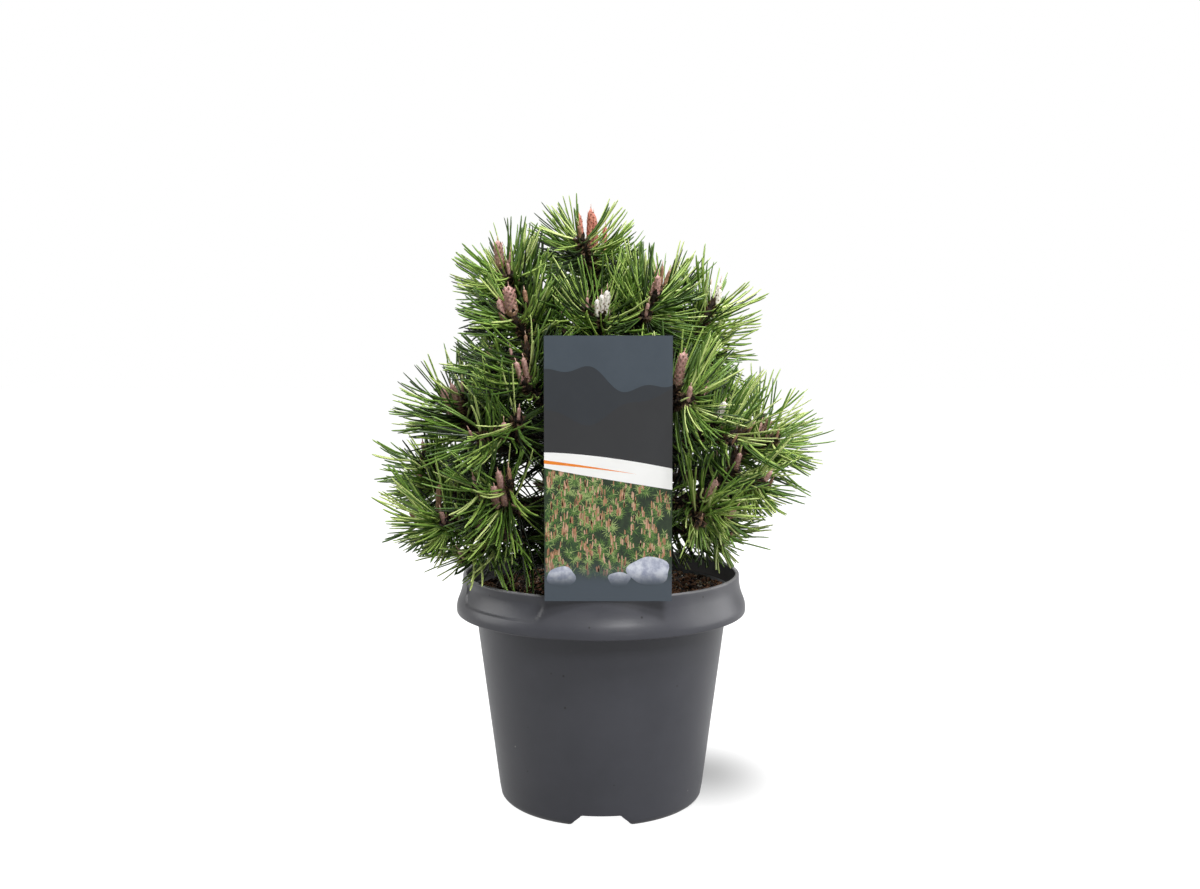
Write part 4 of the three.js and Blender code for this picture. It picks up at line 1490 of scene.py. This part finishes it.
def draw_sprig(heap, middle, size, layer, mark, random):
    """A burst of narrow leaves seen from above, with a few warm buds standing in it."""
    leaves = random.randint(*SPRIG_LEAVES)
    start = random.uniform(0, 2 * math.pi)
    for leaf in range(leaves):
        turn = start + leaf * 2 * math.pi / leaves + random.uniform(-0.12, 0.12)
        ahead = np.array((math.cos(turn), math.sin(turn)))
        beside = np.array((-ahead[1], ahead[0])) * LEAF_HALF
        root = middle + ahead * 0.3
        tip = middle + ahead * size * random.uniform(0.7, 1.0)
        plain = random.rand() < PLAIN_LEAVES
        shade = mark if plain else random.choice((LEAF_PALE, LEAF_GREEN, LEAF_DEEP))
        outline = (root - beside, (root + tip) / 2 - beside * 1.1, tip, root + beside)
        card_polygon(heap, clipped(outline, 0.5), layer + 0.04 * random.rand(), shade)
    for _ in range(random.choice((0, 1, 1, 2, 3))):
        foot = middle + (random.uniform(-1.4, 1.4), random.uniform(-0.4, 1.0))
        height, half = random.uniform(2.6, 4.6), random.uniform(0.32, 0.46)
        lean = random.uniform(-0.3, 0.3)
        outline = foot + np.array(
            (
                (-half, 0),
                (half, 0),
                (half * 0.9 + lean, height * 0.8),
                (lean, height),
                (-half * 0.9 + lean, height * 0.8),
            )
        )
        shade = BUD_TAN if random.rand() < 0.6 else BUD_PINK
        card_polygon(heap, clipped(outline, 0.5), layer + 0.08, shade)


def draw_sprigs(heap):
    """Sprigs over the lower field, the lower ones in front."""
    random = np.random.RandomState(SPRIG_SEED)
    deeper, paler = (LEAF_GREEN, LEAF_DEEP, LEAF_DEEP), (LEAF_PALE, LEAF_PALE, LEAF_GREEN)
    for order in range(SPRIGS):
        share = order / SPRIGS
        v = FIELD_HEAD - (FIELD_HEAD - FIELD_FOOT) * share
        u = random.uniform(1, LABEL_WIDTH - 1)
        if v > band_foot(u) + 1:
            continue
        mark = random.choice(deeper if random.rand() < 0.55 else paler)
        size = random.uniform(*SPRIG_SIZE)
        draw_sprig(heap, np.array((u, v)), size, 3 + 1.5 * share, mark, random)


def draw_stones(heap):
    """Pale rounded stones along the foot of the field."""
    turn = turns(28)
    for u, v, half, tall in STONES:
        wobble = 1 + 0.06 * np.sin(3 * turn + u) + 0.04 * np.sin(5 * turn + v)
        outline = np.column_stack(
            (u + half * wobble * np.cos(turn), v + tall * wobble * np.sin(turn))
        )
        card_polygon(heap, clipped(outline, 0.3), 5, STONE)


def draw_label():
    """Hills over a white band with a stripe, and a field of sprigs and stones below it."""
    heap = Heap()
    strip(heap, near_hills, far_hills, 1, FAR_HILLS)
    strip(heap, band_foot, near_hills, 1.5, NEAR_HILLS)
    strip(heap, band_foot, band_top, 6, WHITE)
    strip(heap, stripe_edge(-1.0), stripe_edge(0.4), 6.5, ORANGE)
    strip(heap, np.zeros_like, band_foot, 1.8, FIELD)
    draw_sprigs(heap)
    draw_stones(heap)
    return heap


def print_finish(name, color, patch, scale, coats=()):
    grain = (160.0, 1500.0, 0.5, 0.34, 0.06)
    return finish_material(name, color, patch, (scale, 0.5, 0.2), grain, 0.02, coats)


def make_card():
    """The card and the tongue that hooks it over the lip, with softened edges."""
    work = bmesh.new()
    back = LABEL_BACK - LABEL_THICKNESS / 2
    middle = (LABEL_CENTRE, back, LABEL_BOTTOM + LABEL_HEIGHT / 2)
    add_block(work, middle, (LABEL_WIDTH, LABEL_THICKNESS, LABEL_HEIGHT))
    bmesh.ops.bevel(work, geom=work.edges[:], offset=LABEL_EDGE * MM, segments=2, affect="EDGES")
    seat = POT_HEIGHT + GAP
    top = seat + TONGUE_THICKNESS
    inner = LABEL_BACK + TONGUE_ARM
    outline = [
        (back, seat),
        (back, top),
        (inner - 0.6, top),
        (inner - 0.1, top - 0.2),
        (inner, top - 0.8),
        (inner, top - TONGUE_LEG),
        (inner - TONGUE_THICKNESS, top - TONGUE_LEG),
        (inner - TONGUE_THICKNESS, seat),
    ]
    sides = (LABEL_CENTRE - TONGUE_WIDTH / 2, LABEL_CENTRE + TONGUE_WIDTH / 2)
    add_prism(work, *([Vector((x, y, z)) * MM for y, z in outline] for x in sides))
    card = print_finish("label_slate", SLATE, (63, 72, 81), 60.0)
    add_piece("label_card", take_mesh("label_card", work), [card], ["plant_label"])


def make_label():
    make_card()
    materials = []
    for name, color, patch, scale, mist_top in PRINTS:
        mist = fade_coat(SLATE, LABEL_BOTTOM + MIST_FOOT, LABEL_BOTTOM + mist_top)
        materials.append(print_finish(name, color, patch, scale, (mist,) if mist_top else ()))
    mesh = draw_label().mesh("label_print", smooth=False)
    add_piece("label_print", mesh, materials)


# ------------------------------------------------------------------ trunk and boughs


def bark_relief(points, seed):
    """Scaly plates with cracks between them, in millimetres out from the limb."""
    relief = np.empty(len(points))
    for k, point in enumerate(points * BARK_PLATES + (0, 0, seed)):
        place = Vector(point)
        gaps, _cells = noise.voronoi(place)
        plate = min((gaps[1] - gaps[0]) * BARK_CRACK_SLOPE, 1.0)
        rough = noise.noise(place * BARK_FINENESS)
        relief[k] = BARK_PLATE_HEIGHT * plate + BARK_ROUGHNESS * rough
    return relief


def bark_limb(curve, radius_at, sides, step, seed, depth):
    """A limb with barked relief that runs out at both its ends."""
    rows = max(int(curve.length() / step), 4)
    shares = np.linspace(0, 1, rows)
    radius = radius_at(shares)[:, None]
    body = sweep(curve, shares, radius, sides)[0][:-2]
    relief = bark_relief(body, seed).reshape(rows, sides)
    relief[[0, -1]] *= 0.3
    return sweep(curve, shares, radius - 0.35 * depth + relief * depth, sides)


def bough_radius(shares):
    return BOUGH_BASE_RADIUS + (BOUGH_TIP_RADIUS - BOUGH_BASE_RADIUS) * shares


def make_limbs(heads):
    heap = Heap()
    root = Bezier(*(np.array(TRUNK_CURVE) - (0, 0, GAP)))
    heap.add(*bark_limb(root, trunk_radius, TRUNK_SIDES, TRUNK_STEP, 0.0, 1.0))
    for k, head in enumerate(heads):
        if head.bough is not None:
            size = (bough_radius, BOUGH_SIDES, BOUGH_STEP)
            heap.add(*bark_limb(head.bough, *size, 5.0 + k, BOUGH_BARK))
    bark = finish_material(
        "bark",
        (78, 61, 48),
        (44, 33, 26),
        (240.0, 0.5, 0.12),
        (420.0, 1700.0, 0.5, 0.86, 0.12),
        0.5,
        (
            dust_and_sheen_coat((146, 134, 118), 0.22, 120.0),
            speck_coat((150, 142, 122), 420.0, 0.22, 0.12),
        ),
    )
    nodes = ["trunk"] + [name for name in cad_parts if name.startswith("bough_")]
    add_piece("trunk_and_boughs", heap.mesh("trunk_and_boughs"), [bark], sorted(nodes))


# ------------------------------------------------------------------ shoots and buds


def add_scales(heap, curve, shares, body, size, lift, marks, tip_marks, random):
    """Small pointed scales that spiral up a shoot or bud, each a quad with a triangle on top.

    body is the radius they sit on, size is their length and lift is how far their tips stand off.
    """
    order = np.arange(len(shares))
    axis = curve.tangent(shares)
    side = side_of(axis, order * GOLDEN_ANGLE + random.rand() * 2 * math.pi)
    across = np.cross(axis, side)
    body, size, lift = body[:, None], size[:, None], lift[:, None]
    base = curve.at(shares) + side * body * 0.85
    wide = across * size * 0.40
    middle = base + axis * size * 0.55 + side * (body * 0.18 + lift * 0.6)
    tip = base + axis * size * 1.15 + side * (body * 0.15 + lift)
    corners = (base - wide, base + wide, middle + wide * 0.9, middle - wide * 0.9, tip)
    scale = (np.array(((0, 1, 2, 3),)), np.array(((3, 2, 4),)))
    faces = [copies(face, len(order), len(corners)) for face in scale]
    heap.add(np.stack(corners, 1), faces, [marks, tip_marks])


def add_shoot(heap, curve, base_radius, tip_radius, random):
    """A young shoot, clad in the dark scales that its needles grew from."""
    length = curve.length()
    shares = np.linspace(0, 1, max(int(length / SHOOT_STEP), 4))
    radius = base_radius + (tip_radius - base_radius) * shares
    heap.add(*sweep(curve, shares, radius, SHOOT_SIDES))
    count = int(length * SHOOT_SCALES)
    along = (np.arange(count) + 0.5) / count
    body = base_radius + (tip_radius - base_radius) * along
    size = SCALE_LENGTH + SCALE_LENGTH_SPREAD * random.rand(count)
    lift = SCALE_LIFT + SCALE_LIFT_SPREAD * random.rand(count) ** 2
    shades = (random.rand(count) < PALER_SCALES).astype(int)
    tips = np.where(random.rand(count) < PALEST_TIPS, 2, shades)
    add_scales(heap, curve, along, body, size, lift, shades, tips, random)


def finish_all(colors, mottle, grain, bump):
    """One material for each row of name, colour and patch colour."""
    return [
        finish_material(name, color, patch, mottle, grain, bump) for name, color, patch in colors
    ]


def make_shoots(heads, nodes):
    heap = Heap()
    random = np.random.RandomState(SHOOT_SEED)
    for head in heads:
        add_shoot(heap, head.stem, STEM_BASE_RADIUS, STEM_TIP_RADIUS, random)
        for twig in head.twigs:
            add_shoot(heap, twig, TWIG_RADIUS, TWIG_RADIUS - TWIG_TAPER, random)
    grain = (600.0, 2200.0, 0.4, 0.8, 0.1)
    materials = finish_all(SHOOT_COLORS, (500.0, 0.5, 0.12), grain, 0.3)
    add_piece("shoots", heap.mesh("shoots"), materials, nodes)


def bud_outline(share, radius):
    """A bud's radius from foot to tip, blunt like a candle."""
    swell = 0.62 + 0.38 * np.clip(share / 0.14, 0, 1) ** 0.6
    return radius * swell * np.sqrt(1 - np.clip((share - 0.80) / 0.20, 0, 0.995) ** 2)


def add_bud(heap, foot, direction, length, radius, kind, random):
    """A bud's core, its overlapping scales and the thread of resin at its tip."""
    foot_color, foot_share, body_color, tip_color = BUD_KINDS[kind]
    bend = unit(direction + BUD_BEND * random.randn(3))
    curve = Bezier(foot - direction * 2, foot + direction * length * 0.3, foot + bend * length)
    rows = np.linspace(0, 1, BUD_ROWS)
    core = np.maximum(bud_outline(rows, radius * 0.9), 0.08)
    heap.add(*sweep(curve, rows, core, BUD_SIDES), body_color)
    count = int(length * radius * BUD_SCALES)
    share = 0.03 + 0.90 * np.arange(count) / count
    size = 0.75 * radius * (1.1 - 0.5 * share)
    lift = 0.10 * radius + 0.10 * random.rand(count)
    near_foot = share + 0.10 * random.randn(count) < foot_share
    marks = np.where(near_foot, foot_color, body_color)
    tips = np.where(random.rand(count) < FRINGED_SCALES, tip_color, marks)
    add_scales(heap, curve, share, bud_outline(share, radius), size, lift, marks, tips, random)
    thread = Bezier(curve.at(0.97), curve.at(1.0) + bend * random.uniform(*THREAD_LENGTH))
    heap.add(*sweep(thread, np.linspace(0, 1, 3), THREAD_RADII, 5), FRINGE)


def bud_places(head):
    """Foot, direction and length of the end bud of each shoot of a head."""
    places = [(head.shoot_end, turned_up(head.direction), BUD_LENGTH)]
    for twig in head.twigs:
        places.append((twig.at(1.0), turned_up(twig.tangent(1.0)), SIDE_BUD_LENGTH))
    return places


def random_cluster(random):
    """An end bud, and often a smaller one beside it."""
    rows = [(0, 0.0, random.uniform(*END_BUD_LENGTH), random.uniform(*END_BUD_RADIUS))]
    for _ in range(random.randint(0, 3)):
        bearing = random.uniform(0, 360)
        length, radius = random.uniform(*BESIDE_BUD_LENGTH), random.uniform(*BESIDE_BUD_RADIUS)
        rows.append((bearing, BESIDE_BUD_OFFSET, length, radius))
    return random.choice(("rose", "rose", "brown")), rows


def add_cluster(heap, head, random):
    """The end bud of a main shoot with the smaller buds that stand round it."""
    made_up = random_cluster(random)
    kind, rows = BUD_CLUSTERS.get(head.name, made_up)
    (foot, ahead, _length), *side_places = bud_places(head)
    for bearing, offset, length, radius in rows:
        level = polar(bearing, 1.0, 0.0)
        side = unit(level - ahead * (level @ ahead))
        place = foot + side * offset - ahead * CLUSTER_SINK * offset
        lean = unit(ahead + side * CLUSTER_LEAN * offset)
        add_bud(heap, place, lean, length, radius, kind, random)
    for foot, ahead, _length in side_places:
        length = random.uniform(*TWIG_BUD_LENGTH)
        kind = random.choice(("rose", "brown"))
        add_bud(heap, foot, ahead, length, TWIG_BUD_RADIUS * length, kind, random)


def make_buds(heads):
    heap = Heap()
    random = np.random.RandomState(BUD_SEED)
    for head in heads:
        add_cluster(heap, head, random)
    grain = (800.0, 2600.0, 0.4, 0.55, 0.1)
    materials = finish_all(BUD_COLORS, (700.0, 0.5, 0.15), grain, 0.1)
    add_piece("buds", heap.mesh("buds"), materials)


# ------------------------------------------------------------------ needles


class NeedleBed:
    """Collects what is known of every needle before they get their greens and meshes."""

    def __init__(self):
        self.rows = []

    def add(self, keep, **columns):
        self.rows.append({name: values[keep] for name, values in columns.items()})

    def column(self, name):
        return np.concatenate([row[name] for row in self.rows])


class Surroundings:
    """What the needles of one head keep clear of."""

    def __init__(self, name, shoots, limbs, buds, shown):
        self.own = shoots.pick(lambda owner: owner == name)
        self.others = shoots.pick(lambda owner: owner != name)
        self.limbs, self.buds, self.shown = limbs, buds, shown

    def free(self, points, chance):
        """True where a needle may pass. A low chance makes it leave a window or a bud free."""
        free = self.others.distance(points) + CROSSING > self.own.distance(points)
        free &= in_the_open(points, 0)
        free &= self.limbs.distance(points) > LIMB_ROOM
        free &= self.buds.distance(points) > BUD_ROOM
        free &= ~((chance < WINDOW_THINNING) & in_sky_window(points))
        return free & ~((chance < BUD_THINNING) & hides_bud(points, self.shown))


def needle_points(root, ahead, bend, reach, steps):
    """Points along each needle, which bows by its bend, at steps that are shares of its length."""
    steps = np.array(steps)[:, None]
    bowed = ahead[:, None] * steps + bend[:, None] * steps**2
    return root[:, None] + reach[:, None, None] * bowed


def lay_needles(bed, curve, share_range, age, vigour, loss, random, around):
    """Pairs of needles spiralling along one shoot, kept where they have room.

    age is 1 on last year's wood and else 0. loss is how much shorter needles are that point down.
    """
    low, high = share_range
    spacing = OLD_PAIR_SPACING if age else PAIR_SPACING
    count = max(int(curve.length() * (high - low) / spacing), 1)
    order = np.arange(count)
    along = (order + 0.5) / count
    share = low + (high - low) * along
    axis = curve.tangent(share)
    roll = order * GOLDEN_ANGLE + random.rand() * 2 * math.pi + ROLL_JITTER * random.randn(count)
    side = side_of(axis, roll)
    angle = np.radians(ROOT_ANGLE + (TIP_ANGLE - ROOT_ANGLE) * along**1.3)
    angle = (angle + np.radians(ANGLE_JITTER) * random.randn(count))[:, None]
    ahead = axis * np.cos(angle) + side * np.sin(angle)
    root = curve.at(share) + side * NEEDLE_FOOT
    split_axis = unit(np.cross(ahead, axis) + 0.5 * random.randn(count, 3))
    split_axis = unit(split_axis - ahead * (split_axis * ahead).sum(1, keepdims=True))
    reach = NEEDLE_LENGTH * vigour + NEEDLE_LENGTH_SPREAD * (random.rand(count) - 0.5)
    reach = reach * (1 - TIP_LOSS * along**2) * (1 - loss * np.clip(-ahead[:, 2], 0, 1))
    split = np.radians(PAIR_SPLIT) * (0.5 + random.rand(count))
    forward = unit(axis - ahead * (axis * ahead).sum(1, keepdims=True))
    bend = forward * (NEEDLE_BEND + BEND_JITTER * random.randn(count))[:, None]
    bend = bend + WAVE * random.randn(count, 3) + (0, 0, NEEDLE_RISE)
    jitter = random.rand(count)
    chance = np.repeat(random.rand(count), len(CHECKED_SHARES))
    for sign in (-1, 1):
        direction = unit(ahead + split_axis * (sign * np.tan(split))[:, None])
        points = needle_points(root, direction, bend, reach, CHECKED_SHARES).reshape(-1, 3)
        bed.add(
            around.free(points, chance).reshape(count, -1).all(1),
            root=root,
            ahead=direction,
            bend=bend,
            outward=split_axis * sign,
            reach=reach,
            along=along,
            age=np.full(count, float(age)),
            jitter=jitter,
        )


def needle_shades(bed):
    """Which green each needle takes: fresh round the buds, and as painted light and shade, paler
    outside and deep inside and low down.
    """
    middle = bed.column("root") + bed.column("ahead") * NEEDLE_MIDDLE
    across = np.hypot(middle[:, 0], middle[:, 1]) / CROWN_RADIUS
    upward = (middle[:, 2] - CROWN_FOOT) / CROWN_HEIGHT
    upward = upward * np.abs(upward) * CROWN_TOP_SHARE
    outer = np.clip(np.hypot(across, upward), 0, OUTERMOST)
    light = LIGHT_EVERYWHERE + LIGHT_OUTSIDE * outer + LIGHT_ROUND_BUD * bed.column("along")
    light = light - LIGHT_LOST_WITH_AGE * bed.column("age")
    light = light + LIGHT_SPREAD * (bed.column("jitter") - 0.5)
    light = light + LIGHT_FROM_ABOVE * bed.column("ahead")[:, 2]
    light = light + LOW_LIGHT * np.clip((LOW_HEIGHT - middle[:, 2]) / LOW_DEPTH, 0, 1)
    light = light + SUNNY_SIDE * np.clip(middle[:, 0] / CROWN_RADIUS, -1, 1)
    return len(LIGHT_STEPS) - np.searchsorted(LIGHT_STEPS, light)


def mesh_needles(bed, chosen):
    """Half-round needles, three-sided, slightly curved, narrowing to a point."""
    root, ahead, bend, outward, reach = (
        bed.column(name)[chosen] for name in ("root", "ahead", "bend", "outward", "reach")
    )
    centre = needle_points(root, ahead, bend, reach, NEEDLE_ROWS)
    lateral = unit(np.cross(ahead, outward))[:, None]
    outward = outward[:, None]
    half = NEEDLE_WIDTH * np.array(NEEDLE_TAPER)[None, :, None] / 2
    left = centre - lateral * half - outward * half * NEEDLE_FLAT
    right = centre + lateral * half - outward * half * NEEDLE_FLAT
    keel = centre + outward * half * NEEDLE_KEEL
    rings = np.stack((left, right, keel), 2)[:, :-1]
    points = np.concatenate((rings.reshape(len(root), -1, 3), centre[:, -1:]), 1)
    tip = points.shape[1] - 1
    ends = ((tip - 3, tip - 2, tip), (tip - 2, tip - 1, tip), (tip - 1, tip - 3, tip), (2, 1, 0))
    shapes = (grid_faces(len(NEEDLE_ROWS) - 1, 3, True), np.array(ends))
    heap = Heap()
    heap.add(points, [copies(faces, len(root), tip + 1) for faces in shapes])
    return heap


def mesh_sheaths(bed):
    """The papery brown sleeve round the foot of each needle."""
    root, ahead = bed.column("root")[:, None], bed.column("ahead")[:, None]
    lateral = unit(np.cross(ahead, bed.column("outward")[:, None]))
    outward = np.cross(lateral, ahead)
    turn = turns(4)[:, None]
    spokes = lateral * np.cos(turn) + outward * np.sin(turn)
    foot = root - ahead * SHEATH_SUNK + spokes * SHEATH_FOOT_RADIUS
    top = root + ahead * SHEATH_LENGTH + spokes * SHEATH_TOP_RADIUS
    heap = Heap()
    heap.add(np.concatenate((foot, top), 1), copies(grid_faces(2, 4, True), len(root), 8))
    return heap


def buds_and_views(heads):
    """Segments for all end buds, and foot, tip and room of each one that shows from the front."""
    buds, shown = Segments(), []
    for head in heads:
        for foot, direction, length in bud_places(head):
            buds.add(foot, foot + direction * length, head.name)
        if head.name in BUDS_SHOWN:
            under, room = BUDS_SHOWN[head.name]
            foot = head.shoot_end - head.direction * under
            shown.append((foot, head.shoot_end + turned_up(head.direction) * BUD_LENGTH, room))
    return buds, shown


def lay_all_needles(heads, limbs, stems, twigs):
    random = np.random.RandomState(NEEDLE_SEED)
    shoots = stems.joined(twigs)
    buds, shown = buds_and_views(heads)
    bed = NeedleBed()
    for head in heads:
        around = Surroundings(head.name, shoots, limbs, buds, shown)
        tier = head.name.split("_")[0]
        vigour = VIGOUR.get(tier, 1.0)
        loss = UNDERSIDE_LOSS if tier == "lower" and head.name not in HANGING else 0.0
        reach = (max(STEM_BARE, 1 - STEM_NEEDLES / head.stem.length()), BARE_TIP)
        lay_needles(bed, head.stem, reach, 0, vigour, loss, random, around)
        for twig in head.twigs:
            lay_needles(bed, twig, TWIG_NEEDLES, 0, TWIG_VIGOUR * vigour, loss, random, around)
        if head.bough is not None:
            reach = (1 - BOUGH_NEEDLES / head.bough.length(), 1.0)
            lay_needles(bed, head.bough, reach, 1, OLD_VIGOUR, loss, random, around)
    return bed


def make_needles(heads, limbs, stems, twigs, nodes):
    bed = lay_all_needles(heads, limbs, stems, twigs)
    shades = needle_shades(bed)
    mottle, grain = (95.0, 0.5, 0.25), (260.0, 1400.0, 0.3, 0.42, 0.08)
    for number, (name, color, patch) in enumerate(NEEDLE_GREENS):
        mesh = mesh_needles(bed, shades == number).mesh(name)
        green = finish_material(name, color, patch, mottle, grain, 0.03, specular=NEEDLE_SPECULAR)
        add_piece(name, mesh, [green], nodes)
    grain = (500.0, 2000.0, 0.4, 0.7, 0.1)
    sheath = finish_material(
        "needle_sheath", (112, 86, 62), (74, 56, 42), (600.0, 0.5, 0.2), grain, 0.1
    )
    add_piece("needle_sheaths", mesh_sheaths(bed).mesh("needle_sheaths"), [sheath])


def make_tree():
    heads, limbs, stems, twigs = grow_skeleton()
    masses = sorted(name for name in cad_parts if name.startswith("needles_"))
    make_limbs(heads)
    make_shoots(heads, masses)
    make_buds(heads)
    make_needles(heads, limbs, stems, twigs, masses)


# ------------------------------------------------------------------ floor, light and camera


def seen_share(net):
    """1 for what is seen straight, less for what is seen mirrored, 0 for what only lights."""
    path = net.nodes.new("ShaderNodeLightPath").outputs
    mirrored = net.calculate("MULTIPLY", path["Is Glossy Ray"], MIRRORED_SHARE)
    return net.calculate("MAXIMUM", path["Is Camera Ray"], mirrored)


def floor_glow(net):
    """How much the floor glows: less in a painted soft shadow, and fully under the pot as painted
    light.
    """
    place = net.position()
    spread = net.measure("DIVIDE", place, SHADOW_SPREAD).outputs["Vector"]
    spot = [a / b for a, b in zip(SHADOW_SPOT, SHADOW_SPREAD)]
    beside = net.measure("DISTANCE", spread, spot).outputs["Value"]
    glow = net.ramp(beside, {"To Min": GLOW_IN_SHADOW, "To Max": FLOOR_GLOW}, smooth=True)
    near, far = UNDER_POT
    span = {"From Min": near, "From Max": far, "To Min": 1.0, "To Max": 0.0}
    under = net.ramp(net.measure("LENGTH", place).outputs["Value"], span)
    return net.calculate("MAXIMUM", glow, under)


def make_stage():
    """A white floor that glows to stay white, but for a painted soft shadow beside the pot."""
    mesh = bpy.data.meshes.new("floor")
    corners = [(-1, -1, 0), (1, -1, 0), (1, 1, 0), (-1, 1, 0)]
    mesh.from_pydata([Vector(corner) * FLOOR_HALF for corner in corners], [], [(0, 1, 2, 3)])
    floor = bpy.data.objects.new("floor", mesh)
    scene.collection.objects.link(floor)
    material, net, shader = new_material("floor_paint")
    glow = net.calculate("MULTIPLY", floor_glow(net), seen_share(net))
    net.feed(
        shader,
        {
            "Base Color": (0.2, 0.2, 0.2, 1),
            "Roughness": 0.95,
            "Emission Color": (1.0, 1.0, 1.0, 1),
            "Emission Strength": glow,
        },
    )
    mesh.materials.append(material)


def make_world():
    """A white backdrop that lights the plant less than it shows."""
    world = bpy.data.worlds.new("studio")
    world.use_nodes = True
    net = Net(world.node_tree)
    strength = net.ramp(seen_share(net), {"To Min": SKY_LIGHT, "To Max": 1.0})
    net.feed(net.nodes["Background"], {"Color": (1.0, 1.0, 1.0, 1), "Strength": strength})
    scene.world = world


def make_lights():
    for name, place, target, size, power in LIGHTS:
        data = bpy.data.lights.new(name, "AREA")
        data.shape = "DISK"
        data.size = size
        data.energy = power
        lamp = bpy.data.objects.new(name, data)
        lamp.location = place
        lamp.rotation_euler = (Vector(target) - Vector(place)).to_track_quat("-Z", "Y").to_euler()
        scene.collection.objects.link(lamp)


def make_camera():
    data = bpy.data.cameras.new("camera")
    data.sensor_width = 36.0
    data.lens = CAMERA_LENS
    data.dof.use_dof = False
    camera = bpy.data.objects.new("camera", data)
    camera.location = (CAMERA_SIDE, -CAMERA_DISTANCE, CAMERA_HEIGHT)
    camera.rotation_euler = (math.radians(90 - CAMERA_PITCH), 0.0, 0.0)
    scene.collection.objects.link(camera)
    scene.camera = camera


scene.view_settings.view_transform = "Standard"
make_pot()
make_mix()
make_label()
make_tree()
make_stage()
make_world()
make_lights()
make_camera()
